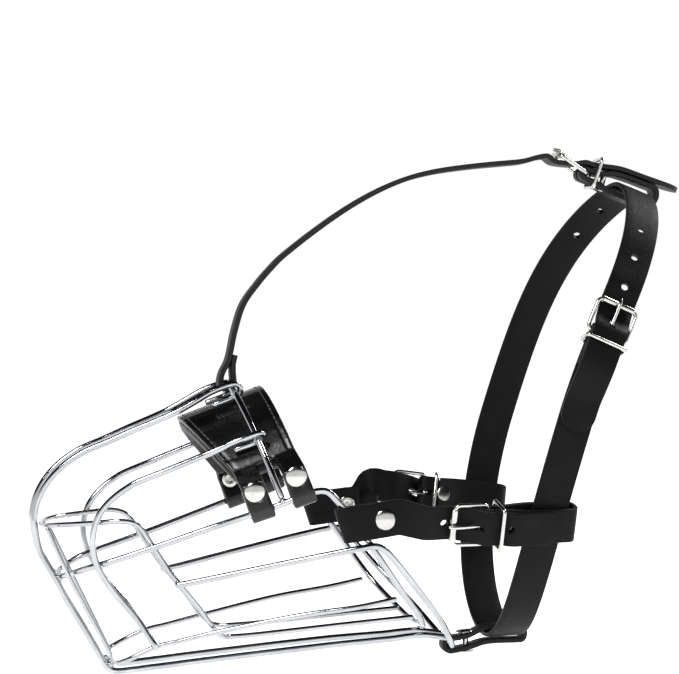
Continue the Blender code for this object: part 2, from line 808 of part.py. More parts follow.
BUCKLE_OUT = 0.0030  # how far the neck buckle's frame stands off the strap's own line
LOOP_ROOM = 0.0025  # air on each side of the neck strap inside a loop
LOOP_PITCH = STRAP_THICK + LOOP_ROOM  # from the neck strap's centre to a loop's layer
LOOP_FLAT = 0.62  # a loop's rear bend is pressed flat to this share of its half height
LOOP_CLEAR = 0.0008  # from its edge to the start of a loop's rear bend
TAIL_OUT = LOOP_PITCH + STRAP_THICK + GAP  # and to a free end lying over the loop
LOOP_RIVET_X = -0.0103
LOOP_SEAM_X = -0.0070


def neck_walk(angle, distance):
    """The angle reached by walking this far along the neck strap, towards its top if positive."""
    step = 0.0005
    turn = -1 if angle % (2 * pi) < pi else 1
    here = neck_point(angle)[0]
    walked = 0.0
    while walked < abs(distance):
        angle += turn * (1 if distance > 0 else -1) * step / NECK_HALF_WIDTH
        ahead = neck_point(angle)[0]
        walked += (ahead - here).length
        here = ahead
    return angle


neck_buckle = neck_frame(NECK_BUCKLE_ANGLE, BUCKLE_OUT)
across_neck = -neck_buckle.col[1].xyz
fold_back = [(-0.019, FOLD), (-0.010, FOLD)] + arc((0, 0), FOLD, 90, -90, 6)
fold_back += [(-0.007, -FOLD)]
neck_run = laid(neck_buckle, fold_back, across_neck)
begin = neck_walk(NECK_BUCKLE_ANGLE, -0.016)
finish = neck_walk(NECK_BUCKLE_ANGLE, FRAME_LENGTH + 0.025) - 2 * pi
neck_run += [neck_station(a) for a in np.linspace(begin, finish, 40)]
neck_run += laid(neck_buckle, billet_entry(), across_neck)
neck_tail = ((-0.014, 0.0092), (-0.020, 0.0084), (-0.026, 0.0062), (-0.032, 0.0038))
neck_tail += ((-0.039, 0.0031), (-0.044, 0.0031), (-0.048, 0.0031))
neck_run += [neck_station(neck_walk(NECK_BUCKLE_ANGLE, d), out) for d, out in neck_tail]
neck_strap = strap("neck_strap", smooth(neck_run, 0.012), STRAP_WIDTH, tip=True)
fold_slot(neck_strap, "neck", neck_buckle)
tongue_hole(neck_strap, "neck", neck_buckle)
spots = []
for count in range(4):
    angle = neck_walk(NECK_BUCKLE_ANGLE, FRAME_LENGTH + 0.0105 + count * NECK_PITCH)
    centre, _, normal = neck_point(angle)
    spots.append(place_on(centre, normal, (1, 0, 0)))
for angle in NECK_FAR_HOLES:
    centre, _, normal = neck_point(angle)
    spots.append(place_on(centre, normal, (1, 0, 0)))
angle = neck_walk(NECK_BUCKLE_ANGLE, -0.0165)
centre, _, normal = neck_point(angle, 0.008)
spots.append(place_on(centre, normal, (1, 0, 0)))
cut_round(neck_strap, "neck_holes", spots, HOLE_R, 0.005)
rivet_spot = neck_buckle @ Matrix.Translation((-0.0125, 0, 0))
LOW_CAP = (LOW_RIVET_R, LOW_RIVET_DOME)
rivet("neck_rivet", neck_strap, rivet_spot, 2 * FOLD + STRAP_THICK + 2 * GAP, *LOW_CAP)
low = -FOLD - STRAP_THICK / 2
high = OVER_FOLD + STRAP_THICK / 2
keeper_place = Matrix.Translation((KEEPER_X, 0, 0))
roller_buckle("neck", neck_buckle, neck_buckle @ keeper_place, low, high)


# ---------------------------------------------------------------- loops round the neck strap
def loop_strap(name, fold_at, run_at, neck_angle):
    """A band from a buckle's pivot bar, round the neck strap and back to its seam."""
    inverse = run_at.inverted()
    reach = STRAP_WIDTH / 2
    passing = [inverse @ neck_point(neck_walk(neck_angle, d))[0] for d in (-reach, 0, reach)]
    bend = min(p.x for p in passing) - reach - LOOP_CLEAR
    front = max(p.x for p in passing) + reach + LOOP_CLEAR
    height = passing[1].z
    across = run_at.col[1][:3]
    spots = laid(run_at, [(LOOP_SEAM_X + GAP, -FOLD)], across)
    spots += laid(run_at, arc((0, 0), FOLD, 270, 450, 8)[1:-1], across)
    spots += laid(run_at, [(LOOP_SEAM_X, FOLD), (front, height + LOOP_PITCH)], across)
    spots += laid(run_at, arc((bend, height), LOOP_PITCH, 90, 270, 8, LOOP_FLAT), across)
    spots += laid(run_at, [(front, height - LOOP_PITCH), (LOOP_SEAM_X - GAP, -FOLD)], across)
    band = strap(name, spots, STRAP_WIDTH)
    fold_slot(band, name, fold_at)
    spot = run_at @ Matrix.Translation((LOOP_RIVET_X, 0, 0))
    share = min(1, (LOOP_SEAM_X - LOOP_RIVET_X) / (LOOP_SEAM_X - front))
    layer = FOLD + share * (height + LOOP_PITCH - FOLD)
    rivet(f"{name}_rivet", band, spot, 2 * layer + STRAP_THICK, *LOW_CAP)


SIDE_TAIL = [(x, TAIL_OUT) for x in (-0.0105, -0.018, -0.027, -0.035)]


# ---------------------------------------------------------------- side straps and their buckles
SIDE_FOLD_Z = 0.0715
SIDE_SLACK = 0.0037  # half the run of the wire's slant inside the fold
SIDE_SLANT = 0.28  # the fold's edge leans forward this much, following the wire
SIDE_RIVET_X = 0.0140


def side_strap(label, side, pivot, neck_angle):
    wrapped = middle_near(lambda p: abs(p[2] - SIDE_FOLD_Z) + 10 * (p[0] < FOOT_X + 0.02))
    fold_at = frame_matrix((wrapped[0], side * wrapped[1], SIDE_FOLD_Z), (1, 0, 0.10), (0, side, 0))
    neck_spot, _, neck_out = neck_point(side * neck_angle)
    buckle_at = frame_matrix(pivot, pivot - neck_spot, neck_out)
    up = np.array((0, 0, 1.0))
    tail_up = np.array(buckle_at.col[1][:3])
    tail_up = tail_up * np.sign(tail_up[2])
    half_layer = LAYER / 2
    inner = [(0.0215, -half_layer), (SIDE_RIVET_X, -half_layer), (0.0095, -0.0022)]
    inner += [(SIDE_SLACK + 0.0015, -WRAP)]
    bend = arc((-SIDE_SLACK, 0), WRAP, -90, -270, 8)
    outer = [(x, -z) for x, z in reversed(inner)]
    run = laid(fold_at, inner, up) + laid(fold_at, bend, up - SIDE_SLANT * np.array((1, 0, 0)))
    run += laid(fold_at, outer, up)
    run += laid(buckle_at, billet_entry() + SIDE_TAIL, tail_up)
    made = strap(f"side_strap_{label}", smooth(run, 0.008), STRAP_WIDTH, tip=True)
    tongue_hole(made, f"side_{label}", buckle_at)
    spots = [buckle_at @ Matrix.Translation((0.0055 + HOLE_PITCH, 0, -UNDER_ROLLER))]
    spots.append(buckle_at @ Matrix.Translation((0.0055 - HOLE_PITCH, 0, 0.0065)))
    cut_round(made, f"side_holes_{label}", spots, HOLE_R, 0.0045)
    spot = fold_at @ Matrix.Translation((SIDE_RIVET_X, 0, 0))
    rivet(f"side_strap_rivet_{label}", made, spot, LAYER + STRAP_THICK)
    loop_strap(f"side_loop_{label}", buckle_at, buckle_at, side * neck_angle)
    keeper_at = buckle_at @ keeper_place
    roller_buckle(f"side_{label}", buckle_at, keeper_at, low, high + 0.0006)


side_strap("left", -1, Vector((0.0488, -0.0710, 0.0684)), radians(117.6))
side_strap("right", 1, Vector((0.0415, 0.0695, 0.0765)), radians(115.2))

# ---------------------------------------------------------------- overhead strap and its buckle
OVERHEAD_PIVOT = Vector((0.1179, 0, 0.2378))
OVERHEAD_FRAME_TILT = radians(36)
OVERHEAD_TILT = radians(21)


def tilted(tilt):
    return frame_matrix(OVERHEAD_PIVOT, (-cos(tilt), 0, sin(tilt)), (sin(tilt), 0, cos(tilt)))


SIDEWAYS = np.array((0, 1.0, 0))
top_frame = tilted(OVERHEAD_FRAME_TILT)
top_run = tilted(OVERHEAD_TILT)
hang = np.array(arch_top)


def flat(x, z, origin=(0, 0, 0)):
    return np.array((origin[0] + x, 0, origin[2] + z, *SIDEWAYS))


front_fold = [flat(0.0045, 0.0132, hang), flat(0.0034, 0.0090, hang)]
front_fold += [flat(0.0032, 0.0045, hang)]
sag = ARCH_RADIUS - (ARCH_RADIUS**2 - STRAP_WIDTH**2 / 4) ** 0.5  # the arch falls this much inside
front_fold += [flat(x, z, hang) for x, z in arc((0, -sag / 2), WRAP + sag / 2, 0, -180, 8)]
front_fold += [flat(-0.0022, 0.0045, hang), flat(0.0003, 0.0090, hang)]
front_fold += [flat(0.0017, 0.0125, hang)]
over_head = [(-0.0621, 0.1665), (-0.0575, 0.1788), (-0.0497, 0.1890), (-0.0379, 0.2010)]
over_head += [(-0.0260, 0.2099), (-0.0079, 0.2220), (0.0097, 0.2316), (0.0275, 0.2385)]
over_head += [(0.0451, 0.2420), (0.0686, 0.2441), (0.0860, 0.2452)]
run = front_fold + [flat(x, z) for x, z in over_head]
run += laid(top_frame, billet_entry()[1:-1], SIDEWAYS)
tail = [(-0.0065, OVER_FOLD + 0.0007)]
tail += [(x, TAIL_OUT + 0.0005) for x in (-0.016, -0.028, -0.040, -0.048)]
run += laid(top_run, tail, SIDEWAYS)
overhead = strap("overhead_strap", smooth(run, 0.010), STRAP_WIDTH, tip=True)
tongue_hole(overhead, "overhead", top_frame)
spots = [top_run @ Matrix.Translation((0.0055 - k * HOLE_PITCH, 0, 0.0065)) for k in (1, 2)]
cut_round(overhead, "overhead_holes", spots, HOLE_R, 0.0045)
loop_strap("overhead_loop", top_frame, top_run, 0.0)
top_keeper = top_run @ keeper_place
roller_buckle("overhead", top_frame, top_keeper, low, high + 0.0010)

# ---------------------------------------------------------------- chin tab
CHIN_PITCH = STRAP_THICK + 0.0011
neck_low = np.array(neck_point(pi)[0])
tip = jaw_tip
chin_bend = neck_low[0] + STRAP_WIDTH / 2 + 0.0008
chin_rivet = 0.0085  # behind the jaw loop's tip
chin_run = [flat(chin_rivet - 0.0032, 0.0034, tip)]
chin_run += [flat(x, z, tip) for x, z in arc((0, 0), WRAP, 80, 270, 9)]
chin_run += [flat(chin_rivet, -0.0018, tip), flat(neck_low[0] - 0.008, neck_low[2] - CHIN_PITCH)]
chin_turn = arc((chin_bend, neck_low[2]), CHIN_PITCH, -90, 90, 8, LOOP_FLAT)
chin_run += [flat(x, z) for x, z in chin_turn]
chin_run += [flat(neck_low[0] - 0.008, neck_low[2] + CHIN_PITCH)]
chin_run += [flat(chin_rivet, 0.0040, tip), flat(chin_rivet - 0.0026, 0.0036, tip)]
chin = strap("chin_tab", chin_run, CHIN_WIDTH)
middle = tip + np.array((chin_rivet, 0, 0.0011))
chin_spot = place_on(middle, (0, 0, 1), (1, 0, 0))
rivet("chin_rivet", chin, chin_spot, 0.0058 + STRAP_THICK + 2 * GAP)
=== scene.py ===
# %% [markdown]
# # A basket muzzle: chromed wire, black harness leather and roller buckles
#
# The CAD model gives every wire, strap and buckle its place and its size. This lesson reads
# those places back and builds each piece again as a maker would see it: round wire that bends
# smoothly, leather with a grain and a cut edge, rolled and plated metal.
#
# The startup objects are removed first, so that only the muzzle is measured.

# %% Load the frame
import json
from math import atan, cos, pi, radians, sin

import bmesh
import bpy
import numpy as np
from mathutils import Matrix, Vector
from mathutils.bvhtree import BVHTree

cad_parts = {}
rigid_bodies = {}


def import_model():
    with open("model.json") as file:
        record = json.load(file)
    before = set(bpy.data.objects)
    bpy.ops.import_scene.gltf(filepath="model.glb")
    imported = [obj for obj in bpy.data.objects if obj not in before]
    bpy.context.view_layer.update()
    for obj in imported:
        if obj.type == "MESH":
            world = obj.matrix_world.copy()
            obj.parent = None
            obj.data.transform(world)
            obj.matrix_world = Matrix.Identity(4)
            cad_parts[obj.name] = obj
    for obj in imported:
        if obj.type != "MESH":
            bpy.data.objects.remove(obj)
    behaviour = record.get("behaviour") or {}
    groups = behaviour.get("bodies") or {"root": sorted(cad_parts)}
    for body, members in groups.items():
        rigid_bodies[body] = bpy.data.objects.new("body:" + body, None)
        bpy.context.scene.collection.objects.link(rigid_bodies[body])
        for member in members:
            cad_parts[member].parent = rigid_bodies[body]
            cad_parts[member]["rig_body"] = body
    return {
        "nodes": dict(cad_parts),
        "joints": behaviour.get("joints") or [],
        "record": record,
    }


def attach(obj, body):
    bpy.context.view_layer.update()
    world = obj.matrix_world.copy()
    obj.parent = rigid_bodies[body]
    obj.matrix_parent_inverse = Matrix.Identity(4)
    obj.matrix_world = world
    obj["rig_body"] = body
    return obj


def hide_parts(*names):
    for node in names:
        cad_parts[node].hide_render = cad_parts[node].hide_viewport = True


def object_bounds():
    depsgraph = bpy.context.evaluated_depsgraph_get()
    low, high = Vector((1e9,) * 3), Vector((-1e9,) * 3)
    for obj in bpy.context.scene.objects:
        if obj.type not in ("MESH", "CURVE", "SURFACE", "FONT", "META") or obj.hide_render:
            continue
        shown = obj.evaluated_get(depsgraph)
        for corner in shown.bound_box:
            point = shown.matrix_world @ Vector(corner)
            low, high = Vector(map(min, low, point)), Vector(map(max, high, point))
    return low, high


for old in list(bpy.data.objects):
    bpy.data.objects.remove(old)
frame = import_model()
CAD_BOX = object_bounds()
MM = 0.001
SLOTS = {part["node"]: part["material_slot"] for part in frame["record"]["subparts"]}
JOINTS = {joint["name"]: joint for joint in frame["joints"]}
size = [round((high - low) / MM, 1) for low, high in zip(*CAD_BOX)]
print("CAD nodes:", len(frame["nodes"]), "box in mm:", size)

# %% [markdown]
# ## The camera
#
# A product picture of a long thing is taken from far off with a long lens, because that keeps
# the near and the far side almost the same size. The camera stands level with the middle of
# the muzzle, 7.5 degrees towards its nose, and leans 2.2 degrees. The leaning turn is made
# about the object's own Y axis, which is easier to reason about than a rolled camera.

# %% Camera
CAMERA_TURN = radians(-7.5)
CAMERA_LEAN = radians(2.2)
CAMERA_DISTANCE = 1.5
CAMERA_TARGET = Vector((-9.5 * MM, 0, 160.5 * MM))
SENSOR_WIDTH = 36.0
PICTURE_WIDTH = 679
SCALE_AT_TARGET = 0.5 * MM  # one step of the picture at the target

lens = bpy.data.cameras.new("long lens")
lens.sensor_width = SENSOR_WIDTH
lens.lens = SENSOR_WIDTH * CAMERA_DISTANCE / SCALE_AT_TARGET / PICTURE_WIDTH
lens.clip_start, lens.clip_end = 0.05, 100
camera = bpy.data.objects.new("camera", lens)
bpy.context.scene.collection.objects.link(camera)
back = Vector((sin(CAMERA_TURN), -cos(CAMERA_TURN), 0))
right = Vector((cos(CAMERA_TURN), sin(CAMERA_TURN), 0))
upright = Matrix((right, back.cross(right), back)).transposed().to_4x4()
upright.translation = back * CAMERA_DISTANCE
camera.matrix_world = (
    Matrix.Translation(CAMERA_TARGET) @ Matrix.Rotation(CAMERA_LEAN, 4, "Y") @ upright
)
bpy.context.scene.camera = camera
print("lens in mm:", round(lens.lens, 1))

# %% [markdown]
# ## Studio: a pale floor under soft light
#
# Chrome has no colour of its own to speak of: it shows the room. In an even white room it
# would all but vanish, so this room is white at the horizon and dim overhead. A round wire
# bends that dim patch into the fine dark line that runs along the top of each real wire.

# %% Node helper, colours and the room
def linear(hex_colour):
    """An sRGB hex colour as the linear values that Blender works in, with an alpha of 1."""
    parts = [int(hex_colour[i : i + 2], 16) / 255 for i in (1, 3, 5)]
    curve = [c / 12.92 if c <= 0.04045 else ((c + 0.055) / 1.055) ** 2.4 for c in parts]
    return (*curve, 1.0)


def add(tree, kind, inputs=None, **settings):
    """Adds a node with its settings. Each input takes a value or another node's output."""
    node = tree.nodes.new(kind)
    for name, value in settings.items():
        setattr(node, name, value)
    for key, value in (inputs or {}).items():
        if isinstance(value, bpy.types.NodeSocket):
            tree.links.new(value, node.inputs[key])
        else:
            node.inputs[key].default_value = value
    return node


def ramp(tree, factor, stops):
    """A colour ramp through stops of (position, hex colour)."""
    node = add(tree, "ShaderNodeValToRGB", {"Fac": factor})
    elements = node.color_ramp.elements
    while len(elements) < len(stops):
        elements.new(1.0)
    for element, (position, colour) in zip(elements, stops):
        element.position = position
        element.color = linear(colour)
    return node.outputs["Color"]


ROOM_HORIZON = "#FFFFFF"
ROOM_TOP = "#131416"
world = bpy.data.worlds.new("studio room")
bpy.context.scene.world = world
world.use_nodes = True
room = world.node_tree
room.nodes.clear()
direction = add(room, "ShaderNodeTexCoord").outputs["Generated"]
height = add(room, "ShaderNodeSeparateXYZ", {"Vector": direction}).outputs["Z"]
dim_top = ramp(room, height, [(0.0, ROOM_HORIZON), (0.30, ROOM_HORIZON), (0.44, ROOM_TOP)])
light = add(room, "ShaderNodeBackground", {"Color": dim_top, "Strength": 1.0})
add(room, "ShaderNodeOutputWorld", {"Surface": light.outputs[0]})
bpy.context.scene.view_settings.view_transform = "Standard"

# %% Floor and lamps
def material(name):
    """An empty material with its shader: (node tree, Principled BSDF)."""
    made = bpy.data.materials.new(name)
    made.use_nodes = True
    tree = made.node_tree
    tree.nodes.clear()
    shader = add(tree, "ShaderNodeBsdfPrincipled")
    add(tree, "ShaderNodeOutputMaterial", {"Surface": shader.outputs[0]})
    return made, tree, shader


FLOOR_REACH = 40.0
paper, _, paper_shader = material("pale studio paper")
paper_shader.inputs["Base Color"].default_value = linear("#F6F6F6")
paper_shader.inputs["Roughness"].default_value = 0.9
paper_shader.inputs["Specular IOR Level"].default_value = 0.1
paper_shader.inputs["Emission Color"].default_value = linear("#FFFFFF")
paper_shader.inputs["Emission Strength"].default_value = 0.92  # lit from below, like a light table
edit = bmesh.new()
bmesh.ops.create_grid(edit, x_segments=1, y_segments=1, size=FLOOR_REACH)
floor_mesh = bpy.data.meshes.new("floor")
edit.to_mesh(floor_mesh)
edit.free()
floor_mesh.materials.append(paper)
floor = bpy.data.objects.new("floor", floor_mesh)
floor.location.z = CAD_BOX[0].z - 0.02 * MM
bpy.context.scene.collection.objects.link(floor)


def softbox(name, place, aim, width, power):
    """A square area lamp that faces its aim."""
    lamp = bpy.data.lights.new(name, "AREA")
    lamp.size = width
    lamp.energy = power
    made = bpy.data.objects.new(name, lamp)
    made.location = place
    made.rotation_euler = (Vector(aim) - Vector(place)).to_track_quat("-Z", "Y").to_euler()
    bpy.context.scene.collection.objects.link(made)


MIDDLE = (CAD_BOX[0] + CAD_BOX[1]) / 2
softbox("key above the nose", (-0.9, -1.1, 1.6), MIDDLE, 0.7, 26)
softbox("rim behind the neck", (1.3, 0.5, 1.3), MIDDLE, 0.6, 20)

# %% [markdown]
# ## Finishes
#
# Every finish is drawn in the object's own space, in real millimetres. `in_mm` scales the
# coordinates so that a texture scale of 1 means one pattern cell per millimetre.

# %% Coordinates in millimetres and bump
def in_mm(tree, stretch=(1, 1, 1)):
    """Object coordinates counted in millimetres, stretched along the axes if asked."""
    place = add(tree, "ShaderNodeTexCoord").outputs["Object"]
    factors = [1 / MM * s for s in stretch]
    scaled = add(tree, "ShaderNodeVectorMath", {0: place, 1: factors}, operation="MULTIPLY")
    return scaled.outputs[0]


def noise(tree, place, cell, detail=3.0):
    """Noise whose lumps are about this many millimetres wide."""
    inputs = {"Vector": place, "Scale": 1 / cell, "Detail": detail}
    return add(tree, "ShaderNodeTexNoise", inputs).outputs["Fac"]


def spread(tree, factor, low, high):
    """The factor, from 0 to 1, spread out between two values."""
    inputs = {"Value": factor, "To Min": low, "To Max": high}
    return add(tree, "ShaderNodeMapRange", inputs).outputs["Result"]


def bump(tree, height, depth, before=None):
    """A bump this many metres deep, on top of an earlier one."""
    inputs = {"Height": height, "Distance": depth, "Strength": 1.0}
    if before is not None:
        inputs["Normal"] = before
    return add(tree, "ShaderNodeBump", inputs).outputs["Normal"]


# %% [markdown]
# ### Bright chrome on drawn wire
#
# The basket is mild steel wire, welded first and plated afterwards. Chrome over bright nickel
# is close to a mirror, so its roughness is low. Drawing the wire leaves long shallow waves
# that make reflections wander, and handling leaves a little haze.

# %% Chromed wire
WAVE = 9.0  # length of the waves left by drawing the wire, in mm
HAZE = 2.5  # patches of haze, in mm
chrome, tree, shader = material("bright chrome on drawn steel wire")
place = in_mm(tree)
shader.inputs["Metallic"].default_value = 1.0
tint = ramp(tree, noise(tree, place, 14.0), [(0.3, "#A9ABAE"), (0.7, "#BCBEC1")])
tree.links.new(tint, shader.inputs["Base Color"])
haze = spread(tree, noise(tree, place, HAZE), 0.05, 0.14)
tree.links.new(haze, shader.inputs["Roughness"])
waves = bump(tree, noise(tree, place, WAVE, 1.0), 0.25 * MM)
tree.links.new(waves, shader.inputs["Normal"])
CHROME = chrome

# %% [markdown]
# ### Nickel plate on stamped and bent steel
#
# Buckles and rivets are barrel-plated with nickel: a touch warmer than chrome, and finely
# orange-peeled from tumbling against each other.

# %% Nickel plate
PEEL = 0.8  # the tumbled surface's lumps, in mm
nickel, tree, shader = material("barrel plated nickel on steel")
place = in_mm(tree)
shader.inputs["Metallic"].default_value = 1.0
tint = ramp(tree, noise(tree, place, 5.0), [(0.3, "#B9B8B5"), (0.7, "#CFCECB")])
tree.links.new(tint, shader.inputs["Base Color"])
worn = spread(tree, noise(tree, place, 1.6), 0.10, 0.24)
tree.links.new(worn, shader.inputs["Roughness"])
peel = bump(tree, noise(tree, place, PEEL), 0.02 * MM)
tree.links.new(peel, shader.inputs["Normal"])
NICKEL = nickel

# %% [markdown]
# ### Harness leather
#
# Vegetable tanned cowhide, dyed black right through and finished with wax. Its grain is a net
# of fine pores, about 0.3 mm across. That is finer than a picture of the whole muzzle can
# show, so the net is drawn at 0.8 mm. Slow variation in the dye and shallow draw marks keep
# the face from looking like plastic. The cut edge is dyed and burnished: darker and fibrous.

# %% Strap leather and its cut edge
def leather(name, dark, pale, smoothest, roughest, grain, depth, gloss):
    """Grain leather between two shades and two roughnesses."""
    made, tree, shader = material(name)
    place = in_mm(tree)
    dye = noise(tree, place, 11.0, 5.0)
    tree.links.new(ramp(tree, dye, [(0.3, dark), (0.75, pale)]), shader.inputs["Base Color"])
    wax = noise(tree, place, 4.0, 4.0)
    polish = spread(tree, wax, smoothest, roughest)
    tree.links.new(polish, shader.inputs["Roughness"])
    shader.inputs["Specular IOR Level"].default_value = gloss
    cells = {"Vector": place, "Scale": 1 / grain, "Randomness": 1.0}
    pores = add(tree, "ShaderNodeTexVoronoi", cells, feature="SMOOTH_F1")
    first = bump(tree, pores.outputs["Distance"], depth)
    draw = bump(tree, noise(tree, place, 3.0, 6.0), 0.10 * MM, first)
    tree.links.new(draw, shader.inputs["Normal"])
    return made


STRAP_LEATHER = leather(
    "waxed black harness leather", "#060607", "#0E0E0F", 0.45, 0.62, 0.8, 0.07 * MM, 0.12
)
PAD_LEATHER = leather(
    "glazed black pad leather", "#070708", "#101011", 0.20, 0.34, 1.1, 0.03 * MM, 0.5
)
cut_edge, tree, shader = material("dyed and burnished cut edge")
place = in_mm(tree, (0.6, 0.6, 1.0))
fibres = noise(tree, place, 0.5, 6.0)
shade = ramp(tree, fibres, [(0.3, "#040404"), (0.8, "#1C1B1B")])
tree.links.new(shade, shader.inputs["Base Color"])
tree.links.new(spread(tree, fibres, 0.45, 0.75), shader.inputs["Roughness"])
tree.links.new(bump(tree, fibres, 0.12 * MM), shader.inputs["Normal"])
shader.inputs["Specular IOR Level"].default_value = 0.3
CUT_EDGE = cut_edge

# %% [markdown]
# ### Lining and thread
#
# The lining that rests on the nose is a soft foam faced with brushed black fabric: no shine,
# only the sheen of its short nap. The thread is bonded black polyester, twisted three-ply. Its
# colour has pale slanting bands painted in along the twist: painted glints, a painted highlight
# that stands in for the light on the twisted thread.

# %% Lining and thread
NAP = 0.6  # the brushed fibres, in mm
lining_stuff, tree, shader = material("brushed black lining on foam")
place = in_mm(tree)
nap = noise(tree, place, NAP, 6.0)
shade = ramp(tree, nap, [(0.3, "#0A0A0A"), (0.75, "#1A1A1B")])
tree.links.new(shade, shader.inputs["Base Color"])
tree.links.new(spread(tree, nap, 0.8, 0.95), shader.inputs["Roughness"])
tree.links.new(bump(tree, nap, 0.15 * MM), shader.inputs["Normal"])
shader.inputs["Sheen Weight"].default_value = 0.25
shader.inputs["Sheen Roughness"].default_value = 0.5
LINING = lining_stuff

TWIST = 0.45  # one turn of the plies, in mm
thread_stuff, tree, shader = material("bonded black polyester thread")
place = in_mm(tree)
twist = {"Vector": place, "Scale": 1 / TWIST, "Distortion": 0.6}
plies_and_painted_glints = add(tree, "ShaderNodeTexWave", twist, bands_direction="DIAGONAL").outputs["Fac"]
# The pale bands in this colour ramp are painted glints, a painted highlight along the twist; the thread
# itself is black.
tree.links.new(ramp(tree, plies_and_painted_glints, [(0.2, "#2E2E30"), (0.8, "#77777B")]), shader.inputs["Base Color"])
tree.links.new(spread(tree, plies_and_painted_glints, 0.35, 0.6), shader.inputs["Roughness"])
tree.links.new(bump(tree, plies_and_painted_glints, 0.08 * MM), shader.inputs["Normal"])
THREAD = thread_stuff
print("materials:", len(bpy.data.materials))

# %% [markdown]
# ## Reading shapes back from the CAD
#
# A CAD wire is an eight-sided tube, so its rings can be walked one after another from an end
# cap, and the middle of each ring lies on the wire's centre line.

# %% Welded copies and rings
SAME_SPOT = 0.002 * MM


def welded(node):
    """A CAD node's mesh with the corners of its triangles joined, as a bmesh."""
    edit = bmesh.new()
    edit.from_mesh(frame["nodes"][node].data)
    bmesh.ops.remove_doubles(edit, verts=edit.verts, dist=SAME_SPOT)
    return edit


def corners(node):
    """The CAD node's distinct corner points, as an array."""
    edit = welded(node)
    found = np.array([v.co for v in edit.verts])
    edit.free()
    return found


def end_ring(edit):
    """The vertices of one flat end cap of a wire."""
    flat = edit.copy()
    flat.verts.ensure_lookup_table()
    bmesh.ops.dissolve_limit(
        flat, angle_limit=radians(0.5), use_dissolve_boundaries=False, verts=flat.verts, edges=flat.edges
    )
    caps = [f for f in flat.faces if len(f.verts) == 8]
    cap = min(caps, key=lambda f: max((v.co - f.calc_center_median()).length for v in f.verts))
    spots = [v.co.copy() for v in cap.verts]
    flat.free()
    return [min(edit.verts, key=lambda v: (v.co - spot).length) for spot in spots]


def centre_line(node, closed=False):
    """Points on the centre line of a round CAD wire, ring by ring, and its radius."""
    edit = welded(node)
    if closed:
        ring = [v for v in edit.verts if abs(v.co.y) < 5 * SAME_SPOT and v.co.x < -0.1]
        ring = sorted(ring, key=lambda v: v.co.x)[:8]
    else:
        ring = end_ring(edit)
    start = Vector(np.mean([v.co for v in ring], axis=0))
    radius = (ring[0].co - start).length
    seen, line = set(ring), []
    while ring:
        line.append(np.mean([v.co for v in ring], axis=0))
        beyond = {e.other_vert(v) for v in ring for e in v.link_edges} - seen
        if closed and len(line) == 1:
            beyond = {v for v in beyond if v.co.y > 0}
        seen |= beyond
        ring = list(beyond)
    edit.free()
    return np.array(line), radius


# %% Smooth curves
def smooth(points, spacing, closed=False):
    """A curve through the points, with a point about every spacing."""
    points = np.array(points, float)
    if closed:
        points = np.vstack([points[-1], points, points[:2]])
    else:
        points = np.vstack([2 * points[0] - points[1], points, 2 * points[-1] - points[-2]])
    path = []
    for before, start, end, after in zip(points, points[1:], points[2:], points[3:]):
        length = np.linalg.norm(end[:3] - start[:3])
        leave = (end - before) * length / (np.linalg.norm(start[:3] - before[:3]) + length)
        arrive = (after - start) * length / (np.linalg.norm(after[:3] - end[:3]) + length)
        steps = max(1, round(length / spacing))
        for t in np.arange(steps) / steps:
            path.append(
                (2 * t**3 - 3 * t**2 + 1) * start
                + (t**3 - 2 * t**2 + t) * leave
                + (3 * t**2 - 2 * t**3) * end
                + (t**3 - t**2) * arrive
            )
    if not closed:
        path.append(points[-2])
    return np.array(path)


# %% [markdown]
# ## Settling a piece
#
# Each finished piece takes the place of its CAD node: it rides on that node's body, and the
# plain node is hidden.

# %% Settle
def linked(name, data, finishes):
    for finish in finishes:
        data.materials.append(finish)
    made = bpy.data.objects.new(name, data)
    bpy.context.scene.collection.objects.link(made)
    return made


def settle(piece, node):
    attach(piece, frame["nodes"][node]["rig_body"])
    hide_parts(node)
    return piece


# %% [markdown]
# ## The basket's wires
#
# A curve with a round bevel is the natural way to make wire: it stays perfectly round in
# every bend. The cut ends were ground before plating, so the bevel shrinks over the last
# fraction of a millimetre and no end is a sharp disc.

# %% Tubes
ROUND_END = ((0.0, 0.45), (0.12, 0.72), (0.35, 0.90), (0.8, 1.0))  # (back, radius) in radii
CLEAR_OF_END = 1.2  # points nearer to the tip than this many rounded lengths are dropped
END_POINTS = 6  # but only among the first few


def tube(name, path, radius, finish, closed=False, sides=4):
    """A round tube through the path, its open ends ground round."""
    shape = bpy.data.curves.new(name, "CURVE")
    shape.dimensions = "3D"
    shape.bevel_depth = radius
    shape.bevel_resolution = sides
    shape.use_fill_caps = not closed
    points, sizes = [np.array(p) for p in path], [1.0] * len(path)
    if not closed:
        for _ in range(2):
            step = points[1] - points[0]
            step = step / np.linalg.norm(step)
            tip = [(points[0] + step * back * radius, share) for back, share in ROUND_END]
            reach = ROUND_END[-1][0] * radius
            far = [np.linalg.norm(p - points[0]) > CLEAR_OF_END * reach for p in points]
            kept = [i for i, clear in enumerate(far) if clear or i > END_POINTS]
            points = [p for p, _ in tip] + [points[i] for i in kept]
            sizes = [share for _, share in tip] + [sizes[i] for i in kept]
            points, sizes = points[::-1], sizes[::-1]
    line = shape.splines.new("POLY")
    line.points.add(len(points) - 1)
    for point, co, share in zip(line.points, points, sizes):
        point.co = (*co, 1)
        point.radius = share
    line.use_cyclic_u = closed
    line.use_smooth = True
    return linked(name, shape, [finish])


